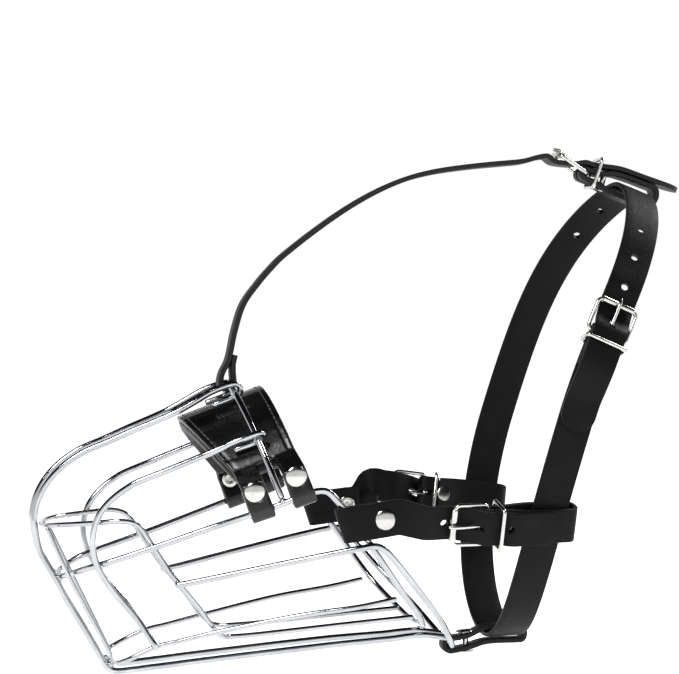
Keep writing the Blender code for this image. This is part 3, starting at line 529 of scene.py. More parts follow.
# %% Bend every basket wire
WIRES = [part["node"] for part in frame["record"]["subparts"] if part["material_slot"] == "chromed_wire"]
WIRE_STEP = 1.5 * MM
runs = {}
for node in WIRES:
    closed = node == "middle_loop"
    line, radius = centre_line(node, closed)
    path = smooth(line, WIRE_STEP, closed)
    runs[node] = (path, radius)
    settle(tube(f"{node}_bent", path, radius, CHROME, closed), node)
    length = np.linalg.norm(np.diff(path, axis=0), axis=1).sum()
    print(node, "radius", round(radius / MM, 2), "mm, length", round(length / MM), "mm")

# %% [markdown]
# ## Welds
#
# Where two wires cross they were resistance welded: pressed together and fused with a pulse
# of current, which squeezes out a low collar of metal. A flattened bead on the line between
# the two centre lines fills the gap, and the plating runs over all of it.

# %% Find crossings and add beads
WELD_REACH = 0.9 * MM  # the widest gap between two wires' faces that a weld closes
WELD_PITCH = 7 * MM  # welds are at least this far apart
BEAD_WIDTH = 1.22  # in mean wire radii
BEAD_DEPTH = 0.85


def crossings(first, second):
    """(middle, direction, mean radius) where two wires come together."""
    a, ra = first
    b, rb = second
    apart = np.linalg.norm(a[:, None] - b[None], axis=2)
    found = []
    close = np.argwhere(apart < ra + rb + WELD_REACH).tolist()
    for i, j in sorted(close, key=lambda pair: apart[pair[0], pair[1]]):
        middle = (a[i] * rb + b[j] * ra) / (ra + rb)
        if all(np.linalg.norm(middle - other[0]) > WELD_PITCH for other in found):
            found.append((middle, b[j] - a[i], (ra + rb) / 2))
    return found


edit = bmesh.new()
welds = 0
names = list(runs)
for i, first in enumerate(names):
    for second in names[i + 1 :]:
        for middle, way, radius in crossings(runs[first], runs[second]):
            turn = Vector(way).to_track_quat("Z", "X").to_matrix().to_4x4()
            shape = Matrix.Diagonal((BEAD_WIDTH, BEAD_WIDTH, BEAD_DEPTH, 1)) * radius
            shape[3][3] = 1
            bmesh.ops.create_icosphere(
                edit, subdivisions=3, radius=1, matrix=Matrix.Translation(middle) @ turn @ shape
            )
            welds += 1
bead_mesh = bpy.data.meshes.new("weld_beads")
edit.to_mesh(bead_mesh)
edit.free()
bead_mesh.shade_smooth()
beads = linked("weld_beads", bead_mesh, [CHROME])
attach(beads, "harness")
print("welds:", welds)

# %% [markdown]
# ## Straps
#
# Each strap is cut from one hide with a strap cutter, so its width is constant, its face is
# flat and its edges are square with the corners just taken off. A rounded section is swept
# along a smooth curve through the strap's stations, which are worked out further down.

# %% [markdown]
# The holes are read from the CAD itself. Every sharp outline in a strap's mesh that is small
# and round is the rim of a hole, and two rims that face each other make one hole.

# %% Find the holes
SHARP = radians(60)
HOLE_RADII = (1.6 * MM, 2.0 * MM)


def outlines(edit):
    """The sharp edges of a mesh as groups of joined vertices: {vertex: its neighbours}."""
    links = {}
    for edge in edit.edges:
        if len(edge.link_faces) == 2 and edge.calc_face_angle() > SHARP:
            for v in edge.verts:
                links.setdefault(v, set()).add(edge.other_vert(v))
    groups = []
    while links:
        todo = [next(iter(links))]
        group = {}
        while todo:
            v = todo.pop()
            if v in links:
                group[v] = links.pop(v)
                todo += group[v]
        groups.append(group)
    return sorted(groups, key=len)


def rims_of(node):
    """The middles of the round rims that punching left in a CAD strap."""
    edit = welded(node)
    rims = []
    for group in outlines(edit)[:-1]:
        spots = np.array([v.co for v in group])
        middle = spots.mean(axis=0)
        radii = np.linalg.norm(spots - middle, axis=1)
        round_enough = len(spots) >= 10 and np.ptp(radii) < 0.5 * MM
        if round_enough and HOLE_RADII[0] < radii.mean() < HOLE_RADII[1]:
            rims.append(middle)
    edit.free()
    return rims


def punched(rims, reach):
    """Pairs of rims that face each other through one layer, as (middle, axis)."""
    left, found = list(rims), []
    while left:
        rim = left.pop()
        other = min(left, key=lambda o: np.linalg.norm(o - rim), default=None)
        if other is not None and np.linalg.norm(other - rim) < reach:
            left = [o for o in left if o is not other]
            found.append(((rim + other) / 2, other - rim))
    return found


# %% Sweep a band
CORNER = 0.45 * MM  # the corners taken off a strap's edges
CROWN = 0.06 * MM  # how much a strap's face swells in its middle
BAND_STEP = 1.2 * MM
TIP_BACKS = (1.0, 0.8, 0.6, 0.42, 0.28, 0.16, 0.07, 0.02)  # rows in the rounded tip, in half widths


def section(half, thickness):
    """Points (across, out) round a strap's section, from one corner round to the next."""
    flat = half - CORNER
    high = thickness / 2 - CORNER
    points = []
    for side, turn in ((1, 0), (-1, pi / 2)):
        for step in range(4):
            a = turn + step * pi / 6
            points.append((side * flat + CORNER * cos(a), high + CORNER * sin(a)))
        if side == 1:
            points += [(flat * share, thickness / 2 + CROWN * (1 - share**2)) for share in (0.5, 0, -0.5)]
    return points + [(-x, -z) for x, z in points]


def rows_of(path, half, tipped):
    """(station, half width) down the band, closer and closer in a rounded tip."""
    gaps = np.linalg.norm(np.diff(path[:, :3], axis=0), axis=1)
    run = np.concatenate([[0], np.cumsum(gaps)])
    if not tipped:
        return [(row, half) for row in path]
    whole = [(row, half) for row, at in zip(path, run) if at < run[-1] - 1.05 * half]
    for back in TIP_BACKS:
        at = run[-1] - back * half
        row = np.array([np.interp(at, run, column) for column in path.T])
        whole.append((row, half * (1 - (1 - back) ** 2) ** 0.5))
    return whole


TIPPED = ("neck_strap", "side_strap_left", "side_strap_right", "overhead_strap")


def band(name, node):
    """A strap rebuilt along its route: (the piece, its holes)."""
    half = (CHIN_WIDTH if node == "chin_tab" else STRAP_WIDTH) / 2
    rows = rows_of(smooth(ROUTES[node], BAND_STEP), half, node in TIPPED)
    edit = bmesh.new()
    rings = []
    for number, (row, wide) in enumerate(rows):
        centre, side = Vector(row[:3]), Vector(row[3:6])
        after = Vector(rows[min(number + 1, len(rows) - 1)][0][:3])
        before = Vector(rows[max(number - 1, 0)][0][:3])
        ahead = (after - before).normalized()
        side = (side - side.dot(ahead) * ahead).normalized()
        out = ahead.cross(side)
        share = wide / half
        ring = [
            edit.verts.new(centre + side * x * share + out * z) for x, z in section(half, THICK)
        ]
        rings.append(ring)
    around = len(rings[0])
    for ring, further in zip(rings, rings[1:]):
        for i in range(around):
            j = (i + 1) % around
            face = edit.faces.new((ring[i], ring[j], further[j], further[i]))
            face.material_index = int(i % (around // 2) in (0, around // 2 - 2, around // 2 - 1))
    edit.faces.new(list(reversed(rings[0])))
    edit.faces.new(rings[-1])
    bmesh.ops.recalc_face_normals(edit, faces=edit.faces)
    mesh = bpy.data.meshes.new(name)
    edit.to_mesh(mesh)
    edit.free()
    made = linked(name, mesh, [STRAP_LEATHER, CUT_EDGE])
    return made, punched(rims_of(node), 1.8 * THICK)


# %% [markdown]
# The cutter is one mesh of round pins, so that each strap is cut once. Blender's Manifold
# solver keeps the swept faces as they are and adds clean walls to the holes.

# %% Punch and settle
PIN_SIDES = 28
SMOOTH_BELOW = radians(38)


def punch(piece, pins, blocks=()):
    """Cuts round pins, (middle, axis, radius, length), and box-shaped slots out of a piece."""
    edit = bmesh.new()
    for middle, axis, radius, length in pins:
        turn = Vector(axis).to_track_quat("Z", "X").to_matrix().to_4x4()
        bmesh.ops.create_cone(
            edit,
            cap_ends=True,
            segments=PIN_SIDES,
            radius1=radius,
            radius2=radius,
            depth=length,
            matrix=Matrix.Translation(Vector(middle)) @ turn,
        )
    for matrix, size in blocks:
        bmesh.ops.create_cube(edit, size=1, matrix=matrix @ Matrix.Diagonal((*size, 1)))
    pin_mesh = bpy.data.meshes.new("pins")
    edit.to_mesh(pin_mesh)
    edit.free()
    pins_object = linked("pins", pin_mesh, [CUT_EDGE])
    cut = piece.modifiers.new("punch", "BOOLEAN")
    cut.operation = "DIFFERENCE"
    cut.solver = "MANIFOLD"
    cut.object = pins_object
    bpy.context.view_layer.update()
    graph = bpy.context.evaluated_depsgraph_get()
    done = bpy.data.meshes.new_from_object(piece.evaluated_get(graph))
    before = len(piece.data.polygons)
    piece.modifiers.clear()
    if len(done.polygons) > before / 2:
        piece.data = done
    bpy.data.objects.remove(pins_object)
    print(piece.name, "faces", before, "then", len(piece.data.polygons))


def even(piece):
    """Smooth shading over faces that meet at less than a strap's corner."""
    piece.data.shade_smooth()
    piece.data.set_sharp_from_angle(angle=SMOOTH_BELOW)


# %% [markdown]
# ## Buckles
#
# A buckle's own directions are all in its joints: the tongue turns about the pivot bar, the
# roller about the bar across from it, and the keeper slides along the strap. X runs from the
# pivot to the roller, Y along the bars, and Z away from the wearer.

# %% Buckle frames of reference
BUCKLES = ("neck", "side_left", "side_right", "overhead")


def axes(origin, x, y):
    """A matrix with these X and Y directions."""
    x = Vector(x).normalized()
    y = Vector(y)
    y = (y - y.dot(x) * x).normalized()
    turn = Matrix((x, y, x.cross(y))).transposed().to_4x4()
    return Matrix.Translation(Vector(origin)) @ turn


def buckle_axes(buckle):
    """(matrix at the pivot bar, distance from there to the roller)."""
    pivot = Vector(JOINTS[f"{buckle}_tongue_hinge"]["pos_m"])
    spin = JOINTS[f"{buckle}_roller_spin"]
    reach = Vector(spin["pos_m"]) - pivot
    return axes(pivot, reach, spin["axis"]), reach.length


def local_box(node, matrix):
    """Lowest and highest corner of a CAD node in a matrix's own directions."""
    points = corners(node)
    flip = np.array(matrix.inverted())
    local = points @ flip[:3, :3].T + flip[:3, 3]
    return local.min(axis=0), local.max(axis=0)


PIVOTS = {buckle: buckle_axes(buckle) for buckle in BUCKLES}
for buckle, (matrix, reach) in PIVOTS.items():
    print(buckle, "pivot to roller", round(reach / MM, 1), "mm, z", [round(c, 2) for c in matrix.col[2][:3]])

# %% [markdown]
# The frame is round wire bent into a rounded rectangle and butt welded, the roller a strip
# rolled round the bar with its seam left open, the keeper a smaller bent loop, and the tongue
# a pin with an eye curled round the pivot bar.

# %% Bent loops
BEND_STEPS = 6


def bent_loop(half_a, half_b, bend, place):
    """A rounded rectangle in its own plane, mapped to the model by place(a, b)."""
    path = []
    for side_a, side_b, turn in ((1, 1, 0), (-1, 1, 90), (-1, -1, 180), (1, -1, 270)):
        for step in range(BEND_STEPS + 1):
            angle = radians(turn + 90 * step / BEND_STEPS)
            a = side_a * (half_a - bend) + bend * cos(angle)
            b = side_b * (half_b - bend) + bend * sin(angle)
            path.append(np.array(place(a, b)))
    return path


def turned(name, profile, sides, matrix, finishes):
    """A solid of revolution about the matrix's Z axis from (radius, height) points."""
    edit = bmesh.new()
    ring = [edit.verts.new((r, 0, z)) for r, z in profile]
    edges = [edit.edges.new(pair) for pair in zip(ring, ring[1:])]
    if profile[0][0] > 0:
        edges.append(edit.edges.new((ring[-1], ring[0])))
    bmesh.ops.spin(
        edit, geom=ring + edges, axis=(0, 0, 1), cent=(0, 0, 0), angle=2 * pi, steps=sides, use_merge=True
    )
    bmesh.ops.remove_doubles(edit, verts=edit.verts, dist=SAME_SPOT)
    bmesh.ops.transform(edit, matrix=matrix, verts=edit.verts)
    bmesh.ops.recalc_face_normals(edit, faces=edit.faces)
    mesh = bpy.data.meshes.new(name)
    edit.to_mesh(mesh)
    edit.free()
    made = linked(name, mesh, finishes)
    even(made)
    return made


# %% Four buckles
FRAME_BEND = 2.6 * MM
KEEPER_BEND = 1.7 * MM
ROLLER_WALL = 0.6 * MM
ROLLER_LIP = 0.15 * MM
ROLLER_WAIST = 0.12 * MM  # the groove that the tongue has worn in the roller
TONGUE_TIP = 1.2


def build_frame(buckle):
    matrix, _ = PIVOTS[buckle]
    node = f"{buckle}_buckle_frame"
    low, high = local_box(node, matrix)
    radius = (high[2] - low[2]) / 2
    middle = (low[0] + high[0]) / 2
    half_x, half_y = (high[0] - low[0]) / 2 - radius, (high[1] - low[1]) / 2 - radius
    loop = bent_loop(half_x, half_y, FRAME_BEND, lambda a, b: matrix @ Vector((middle + a, b, 0)))
    settle(tube(f"{node}_plated", loop, radius, NICKEL, closed=True, sides=6), node)


def build_keeper(buckle):
    slide = JOINTS[f"{buckle}_keeper_slide"]["axis"]
    node = f"{buckle}_buckle_keeper"
    matrix = axes((0, 0, 0), slide, JOINTS[f"{buckle}_roller_spin"]["axis"])
    low, high = local_box(node, matrix)
    x, y, z = (low + high) / 2
    radius = (high[0] - low[0]) / 2
    half_y, half_z = (high[1] - low[1]) / 2 - radius, (high[2] - low[2]) / 2 - radius
    loop = bent_loop(half_y, half_z, KEEPER_BEND, lambda a, b: matrix @ Vector((x, y + a, z + b)))
    settle(tube(f"{node}_plated", loop, radius, NICKEL, closed=True, sides=6), node)


def build_roller(buckle):
    matrix, reach = PIVOTS[buckle]
    node = f"{buckle}_buckle_roller"
    bar = matrix @ Matrix.Translation((reach, 0, 0)) @ Matrix.Rotation(-pi / 2, 4, "X")
    low, high = local_box(node, bar)
    outer, half = high[0], high[2]
    inner = outer - ROLLER_WALL
    waist = outer - ROLLER_WAIST
    profile = [(inner, half), (outer - ROLLER_LIP, half), (outer, half - ROLLER_LIP)]
    profile += [(outer, 1.6 * MM), (waist, 1.1 * MM), (waist, -1.1 * MM), (outer, -1.6 * MM)]
    profile += [(outer, ROLLER_LIP - half), (outer - ROLLER_LIP, -half), (inner, -half)]
    roller = turned(f"{node}_plated", profile, 40, bar, [NICKEL])
    settle(roller, node)


def build_tongue(buckle):
    node = f"{buckle}_buckle_tongue"
    line, radius = centre_line(node)
    matrix, _ = PIVOTS[buckle]
    pivot = np.array(matrix.translation)
    if np.linalg.norm(line[-1] - pivot) < np.linalg.norm(line[0] - pivot):
        line = line[::-1]
    path = smooth(line, 0.5 * MM)
    settle(tube(f"{node}_plated", path, radius, NICKEL, sides=6), node)


for buckle in BUCKLES:
    build_frame(buckle)
    build_keeper(buckle)
    build_roller(buckle)
    build_tongue(buckle)
print("buckle pieces:", 4 * len(BUCKLES))

# %% [markdown]
# ## Where every strap runs
#
# A strap is drawn as its maker lays it: through the buckle, round the wire and back to its
# seam. Each route is a list of stations, a point on the middle line and the direction of the
# strap's width. They are worked out from the buckles' joints, the wires' centre lines and a
# few measures of the leather, so they follow the imported model. Only the free sweep of the
# overhead strap from the nose arch to its buckle is a list of given points.

# %% Measures of the leather
STRAP_WIDTH = 17 * MM
CHIN_WIDTH = 12 * MM
THICK = 2.4 * MM
AIR = 0.3 * MM  # between pieces that touch
BAR = 1.0 * MM  # radius of a buckle's wire
MAIN_WIRE = runs["jaw_loop"][1]
WRAP = MAIN_WIRE + AIR + THICK / 2  # middle line of a strap folded round a basket wire
FOLD = BAR + AIR + THICK / 2  # and round a buckle's bar
OVER_FOLD = FOLD + THICK + 2.5 * AIR  # middle line of the free end above the fold
UNDER_ROLLER = BAR + AIR / 2 + ROLLER_WALL + 2 * AIR + THICK / 2
LOOP_PITCH = THICK + 2.5 * MM  # from the neck strap's middle to a loop's layer
TAIL_OUT = LOOP_PITCH + THICK + AIR  # and to a free end lying over the loop
LOOP_FLAT = 0.62  # a loop's rear bend is pressed flat to this share of its half height
SIDEWAYS = Vector((0, 1, 0))


def arc(middle, radius, start, end, steps, flat=1.0):
    """Points (x, z) on an arc, its angles in degrees from +X towards +Z, its X squeezed by flat."""
    turn = [radians(start + (end - start) * i / steps) for i in range(steps + 1)]
    return [(middle[0] + flat * radius * cos(a), middle[1] + radius * sin(a)) for a in turn]


def laid(matrix, spots, side):
    """Stations at a matrix's own (x, z) spots."""
    side = Vector(side).normalized()
    return [np.array((*(matrix @ Vector((x, 0, z))), *side)) for x, z in spots]


def across_of(matrix):
    return matrix.col[1].to_3d()


def level(x, z, origin=(0, 0, 0)):
    """A station on the middle plane, the strap lying sideways."""
    return np.array((origin[0] + x, 0, origin[2] + z, *SIDEWAYS))


# %% The neck strap's oval
NECK_HALF_WIDTH = 74 * MM
NECK_HEIGHT = 220.5 * MM  # middle line, bottom to top
NECK_LOW = 8.5 * MM
NECK_X = 66.5 * MM  # where it starts at the bottom
NECK_LEAN = 74.5 * MM  # how far back its top lies
LEAN_POWER = 1.75
NECK_SKEW = 5.5 * MM  # the left side lies further back than the right one
NECK_BOW = 4.5 * MM  # above the middle the sides bow this much
NECK_TWIST = 0.8  # how much the strap's width follows the lean
NECK_BUCKLE = radians(-70.5)  # from the top, towards the wearer's left
WALK_STEP = 0.5 * MM


def neck_point(angle, out=0.0):
    """Middle and width direction of the neck strap, its angle from the top towards +Y."""
    rise = (1 + cos(angle)) / 2
    slope = NECK_LEAN * LEAN_POWER * rise ** (LEAN_POWER - 1) / NECK_HEIGHT
    x = NECK_X + NECK_LEAN * rise**LEAN_POWER - NECK_SKEW * sin(angle)
    if cos(angle) > 0:
        x -= NECK_BOW * sin(2 * angle) ** 2 * (1 if sin(angle) > 0 else -1)
    y = NECK_HALF_WIDTH * sin(angle)
    z = NECK_LOW + NECK_HEIGHT / 2 * (1 + cos(angle))
    back = NECK_TWIST * atan(slope)
    across = Vector((cos(back), 0, -sin(back)))
    normal = Vector((0, sin(angle) / NECK_HALF_WIDTH, cos(angle) / (NECK_HEIGHT / 2))).normalized()
    normal = (normal - normal.dot(across) * across).normalized()
    return Vector((x, y, z)) + out * normal, across


def neck_station(angle, out=0.0):
    middle, across = neck_point(angle, out)
    return np.array((*middle, *across))


def neck_walk(angle, distance):
    """The angle after walking this far along the strap, towards its top if positive."""
    turn = -1 if angle % (2 * pi) < pi else 1
    here, walked = neck_point(angle)[0], 0.0
    while walked < abs(distance):
        angle += turn * (1 if distance > 0 else -1) * WALK_STEP / NECK_HALF_WIDTH
        ahead = neck_point(angle)[0]
        walked += (ahead - here).length
        here = ahead
    return angle


# %% Through a buckle and round a loop
def billet_entry(reach):
    """(x, z) of a free end: in under the roller, up through the frame, over the fold."""
    return [
        (reach + 12 * MM, -UNDER_ROLLER - 0.2 * MM),
        (reach + 5 * MM, -UNDER_ROLLER - 0.4 * MM),
        (reach + 0.5 * MM, -UNDER_ROLLER - 0.4 * MM),
        (0.80 * reach, -UNDER_ROLLER + 1.1 * MM),
        (0.45 * reach, 1.0 * MM),
        (0.20 * reach, OVER_FOLD - 1.0 * MM),
        (0.0, OVER_FOLD),
        (-6 * MM, OVER_FOLD),
    ]


LOOP_SEAM = -7 * MM  # from the pivot bar to the loop's seam
LOOP_CLEAR = 0.8 * MM


def loop_route(run_at, neck_angle):
    """From a buckle's pivot bar, round the neck strap and back to the seam."""
    reach = STRAP_WIDTH / 2
    inverse = run_at.inverted()
    passing = [inverse @ neck_point(neck_walk(neck_angle, d))[0] for d in (-reach, 0, reach)]
    bend = min(p.x for p in passing) - reach - LOOP_CLEAR
    front = max(p.x for p in passing) + reach + LOOP_CLEAR
    height = passing[1].z
    spots = [(LOOP_SEAM + AIR, -FOLD)] + arc((0, 0), FOLD, 270, 450, 8)[1:-1]
    spots += [(LOOP_SEAM, FOLD), (front, height + LOOP_PITCH)]
    spots += arc((bend, height), LOOP_PITCH, 90, 270, 8, LOOP_FLAT)
    spots += [(front, height - LOOP_PITCH), (LOOP_SEAM - AIR, -FOLD)]
    return laid(run_at, spots, across_of(run_at))


# %% The neck strap
def neck_route():
    matrix, reach = PIVOTS["neck"]
    across = -across_of(matrix)
    fold = [(-19 * MM, FOLD), (-10 * MM, FOLD), *arc((0, 0), FOLD, 90, -90, 6), (-7 * MM, -FOLD)]
    begin = neck_walk(NECK_BUCKLE, -16 * MM)
    finish = neck_walk(NECK_BUCKLE, reach + 25 * MM) - 2 * pi
    tail = ((14, 9.2), (20, 8.4), (26, 6.2), (32, 3.8), (39, 3.1), (44, 3.1), (48, 3.1))
    route = laid(matrix, fold, across)
    route += [neck_station(angle) for angle in np.linspace(begin, finish, 40)]
    route += laid(matrix, billet_entry(reach), across)
    route += [neck_station(neck_walk(NECK_BUCKLE, -back * MM), out * MM) for back, out in tail]
    return smooth(route, 12 * MM)


# %% The side straps
SIDE_FOLD_Z = 71.5 * MM
SIDE_SLACK = 3.7 * MM  # half the run of the wire's slant inside the fold
SIDE_SLANT = 0.28  # the fold's edge leans forward this much, following the wire
SIDE_TILT = 0.10
SIDE_RIVET = 14 * MM
LAYER = THICK + AIR  # between the middles of two layers
middle_wire = smooth(centre_line("middle_loop", True)[0], 0.2 * MM, True)
rear_run = middle_wire[(middle_wire[:, 1] < 0) & (middle_wire[:, 0] > -28 * MM)]
wrapped = rear_run[np.abs(rear_run[:, 2] - SIDE_FOLD_Z).argmin()]


def side_route(buckle, side):
    matrix, reach = PIVOTS[buckle]
    corner = (wrapped[0], -side * wrapped[1], SIDE_FOLD_Z)
    along = Vector((1, 0, SIDE_TILT)).normalized()
    fold_at = axes(corner, along, Vector((0, side, 0)).cross(along))
    up = Vector((0, 0, 1))
    tail_up = across_of(matrix)
    tail_up *= 1 if tail_up.z > 0 else -1
    inner = [(21.5 * MM, -LAYER / 2), (SIDE_RIVET, -LAYER / 2), (9.5 * MM, -2.2 * MM)]
    inner.append((SIDE_SLACK + 1.5 * MM, -WRAP))
    bend = arc((-SIDE_SLACK, 0), WRAP, -90, -270, 8)
    tail = [(x * MM, TAIL_OUT) for x in (-10.5, -18, -27, -35)]
    route = laid(fold_at, inner, up) + laid(fold_at, bend, up - SIDE_SLANT * Vector((1, 0, 0)))
    route += laid(fold_at, [(x, -z) for x, z in reversed(inner)], up)
    route += laid(matrix, billet_entry(reach) + tail, tail_up)
    return smooth(route, 8 * MM)


# %% The overhead strap
OVERHEAD_TILT = radians(21)  # its free end lies flatter than its buckle
arch_run = runs["nose_arch_wire"][0]
arch_radius = (arch_run[:, 1].max() - arch_run[:, 1].min()) / 2
hang = arch_run[np.abs(arch_run[:, 1]).argmin()]
top_frame, top_reach = PIVOTS["overhead"]
top_way = Vector((-cos(OVERHEAD_TILT), 0, sin(OVERHEAD_TILT)))
top_run = axes(top_frame.translation, top_way, across_of(top_frame))


def overhead_route():
    sag = arch_radius - (arch_radius**2 - STRAP_WIDTH**2 / 4) ** 0.5  # the arch falls this much
    front = ((4.5, 13.2), (3.4, 9.0), (3.2, 4.5))
    rear = ((-2.2, 4.5), (0.3, 9.0), (1.7, 12.5))
    crown = ((-62.1, 166.5), (-57.5, 178.8), (-49.7, 189.0), (-37.9, 201.0), (-26.0, 209.9))
    crown += ((-7.9, 222.0), (9.7, 231.6), (27.5, 238.5), (45.1, 242.0), (68.6, 244.1), (86.0, 245.2))
    route = [level(x * MM, z * MM, hang) for x, z in front]
    route += [level(x, z, hang) for x, z in arc((0, -sag / 2), WRAP + sag / 2, 0, -180, 8)]
    route += [level(x * MM, z * MM, hang) for x, z in rear]
    route += [level(x * MM, z * MM) for x, z in crown]
    route += laid(top_frame, billet_entry(top_reach)[1:-1], SIDEWAYS)
    tail = [(-6.5 * MM, OVER_FOLD + 0.7 * MM)]
    tail += [(x * MM, TAIL_OUT + 0.5 * MM) for x in (-16, -28, -40, -48)]
    route += laid(top_run, tail, SIDEWAYS)
    return smooth(route, 10 * MM)


# %% The chin tab
def chin_route():
    tip = runs["jaw_loop"][0][np.abs(runs["jaw_loop"][0][:, 1]).argmin()]
    low = neck_point(pi)[0]
    pitch = THICK + 1.1 * MM
    rivet = 8.5 * MM  # behind the jaw loop's tip
    front = low.x - 8 * MM
    bend = low.x + STRAP_WIDTH / 2 + 0.8 * MM
    route = [level(rivet - 3.2 * MM, 3.4 * MM, tip)]
    route += [level(x, z, tip) for x, z in arc((0, 0), WRAP, 80, 270, 9)]
    route += [level(rivet, -1.8 * MM, tip), level(front, low.z - pitch)]
    route += [level(x, z) for x, z in arc((bend, low.z), pitch, -90, 90, 8, LOOP_FLAT)]
    route += [level(front, low.z + pitch), level(rivet, 4.0 * MM, tip)]
    return route + [level(rivet - 2.6 * MM, 3.6 * MM, tip)]


# %% Every route
SIDES = {"left": (-1, radians(-117.6)), "right": (1, radians(115.2))}
ROUTES = {"neck_strap": neck_route(), "overhead_strap": overhead_route(), "chin_tab": chin_route()}
ROUTES["overhead_loop"] = loop_route(top_run, 0.0)
for label, (side, neck_angle) in SIDES.items():
    ROUTES[f"side_strap_{label}"] = side_route(f"side_{label}", side)
    ROUTES[f"side_loop_{label}"] = loop_route(PIVOTS[f"side_{label}"][0], neck_angle)
print("stations:", {name: len(route) for name, route in ROUTES.items()})

# %% [markdown]
# ## All the straps
#
# The tongue stands in an oblong hole, and the fold round a pivot bar has a slot that lets the
# tongue's eye through. Both are cut with the buckle's own directions.

# %% Straps, loops and chin tab
PUNCH = 1.8 * MM  # radius of the punched holes
TONGUE_SLOT = (9.5 * MM, 2.9 * MM, 7 * MM)
FOLD_SLOT = (9.0 * MM, 3.2 * MM, 8.6 * MM)
STRAPS = {
    "neck_strap": ("neck", "neck"),
    "side_strap_left": ("side_left", None),
    "side_strap_right": ("side_right", None),
    "overhead_strap": ("overhead", None),
    "side_loop_left": (None, "side_left"),
    "side_loop_right": (None, "side_right"),
    "overhead_loop": (None, "overhead"),
    "chin_tab": (None, None),
}
for node, (tongue_of, fold_of) in STRAPS.items():
    made, holes = band(f"{node}_leather", node)
    pins = [(middle, axis, PUNCH, 2.2 * THICK) for middle, axis in holes]
    blocks = []
    if tongue_of:
        matrix, reach = PIVOTS[tongue_of]
        blocks.append((matrix @ Matrix.Translation((0.33 * reach, 0, 2.5 * MM)), TONGUE_SLOT))
    if fold_of:
        blocks.append((PIVOTS[fold_of][0] @ Matrix.Translation((0.8 * MM, 0, 0)), FOLD_SLOT))
    if pins or blocks:
        punch(made, pins, blocks)
    even(made)
    settle(made, node)

# %% [markdown]
# ## Rivets
#
# Two kinds: domed caps, 10 mm wide, where a strap is folded round a wire, and small low caps
# under the buckles. Behind the leather each has a rolled ring washer with a sunken middle.

# %% Rivets from their CAD nodes
RIVETS = [node for node in SLOTS if "rivet" in node]
EYE = 1.3 * MM  # the sunken middle of the washer
SHANK = 1.5 * MM


def rivet_axes(node):
    """(matrix, rows of (radius, height)): Z points out of the dome."""
    points = corners(node)
    middle = points.mean(axis=0)
    values, ways = np.linalg.eigh(np.cov((points - middle).T))
    lone = 0 if abs(values[1] - values[0]) > abs(values[2] - values[1]) else 2
    axis = ways[:, lone]
    heights = (points - middle) @ axis
    radii = np.linalg.norm((points - middle) - np.outer(heights, axis), axis=1)
    widest = radii > radii.max() - 0.05 * MM
    if heights[widest].mean() < 0:
        axis, heights = -axis, -heights
    turn = Vector(axis).to_track_quat("Z", "X").to_matrix().to_4x4()
    return Matrix.Translation(Vector(middle)) @ turn, np.column_stack([radii, heights])


for node in RIVETS:
    matrix, rows = rivet_axes(node)
    cap = rows[:, 0].max()
    top = rows[:, 1].max()
    rim = rows[rows[:, 0] > cap - 0.05 * MM, 1].min()
    bottom = rows[:, 1].min()
    washer = rows[rows[:, 1] < bottom + 0.1 * MM, 0].max()
    dome = top - rim
    profile = [(0, top)]
    for step in range(1, 9):
        a = step * pi / 18
        profile.append((cap * sin(a) / sin(8 * pi / 18), rim + dome * (cos(a) - cos(pi / 2)) * 0.97))
    profile += [(cap, rim + 0.08 * dome), (0.97 * cap, rim), (SHANK, rim), (SHANK, bottom + 0.6 * MM)]
    profile += [(0.97 * washer, bottom + 0.6 * MM), (washer, bottom + 0.35 * MM)]
    profile += [(0.86 * washer, bottom + 0.02 * MM), (0.6 * washer, bottom)]
    profile += [(EYE, bottom + 0.12 * MM), (0.8 * EYE, bottom + 0.5 * MM), (0, bottom + 0.5 * MM)]
    settle(turned(f"{node}_plated", profile, 48, matrix, [NICKEL]), node)
print("rivets:", len(RIVETS))

# %% [markdown]
# ## Nose pad
#
# The cover is one leather piece that arches over the nose, with two tabs each side folded
# round a wire. The CAD shape is remeshed finely and relaxed, which turns its flat facets into
# one continuous curve and its square rims into soft edges. Then a furrow is pressed along
# each sewn line and the stitches are laid in it.

# %% Soft copies
def relaxed(name, node, voxel, rounds, finish):
    """A fine, relaxed copy of a CAD node."""
    mesh = frame["nodes"][node].data.copy()
    mesh.materials.clear()
    made = linked(name, mesh, [finish])
    remesh = made.modifiers.new("fine", "REMESH")
    remesh.mode = "VOXEL"
    remesh.voxel_size = voxel
    relax = made.modifiers.new("relax", "SMOOTH")
    relax.factor = 0.5
    relax.iterations = rounds
    bpy.context.view_layer.update()
    graph = bpy.context.evaluated_depsgraph_get()
    done = bpy.data.meshes.new_from_object(made.evaluated_get(graph))
    made.modifiers.clear()
    made.data = done
    made.data.shade_smooth()
    print(name, "faces", len(done.polygons))
    return made


cover = relaxed("nose_pad_cover_leather", "nose_pad_cover", 0.6 * MM, 14, PAD_LEATHER)
settle(cover, "nose_pad_cover")
lining = relaxed("nose_pad_lining_soft", "nose_pad_lining", 1.0 * MM, 10, LINING)
settle(lining, "nose_pad_lining")

# %% [markdown]
# The stitches follow the front and the rear edge, 3 mm in. The arch wire gives the
# directions: its centre line is a half circle, and the pad curves in the same plane.

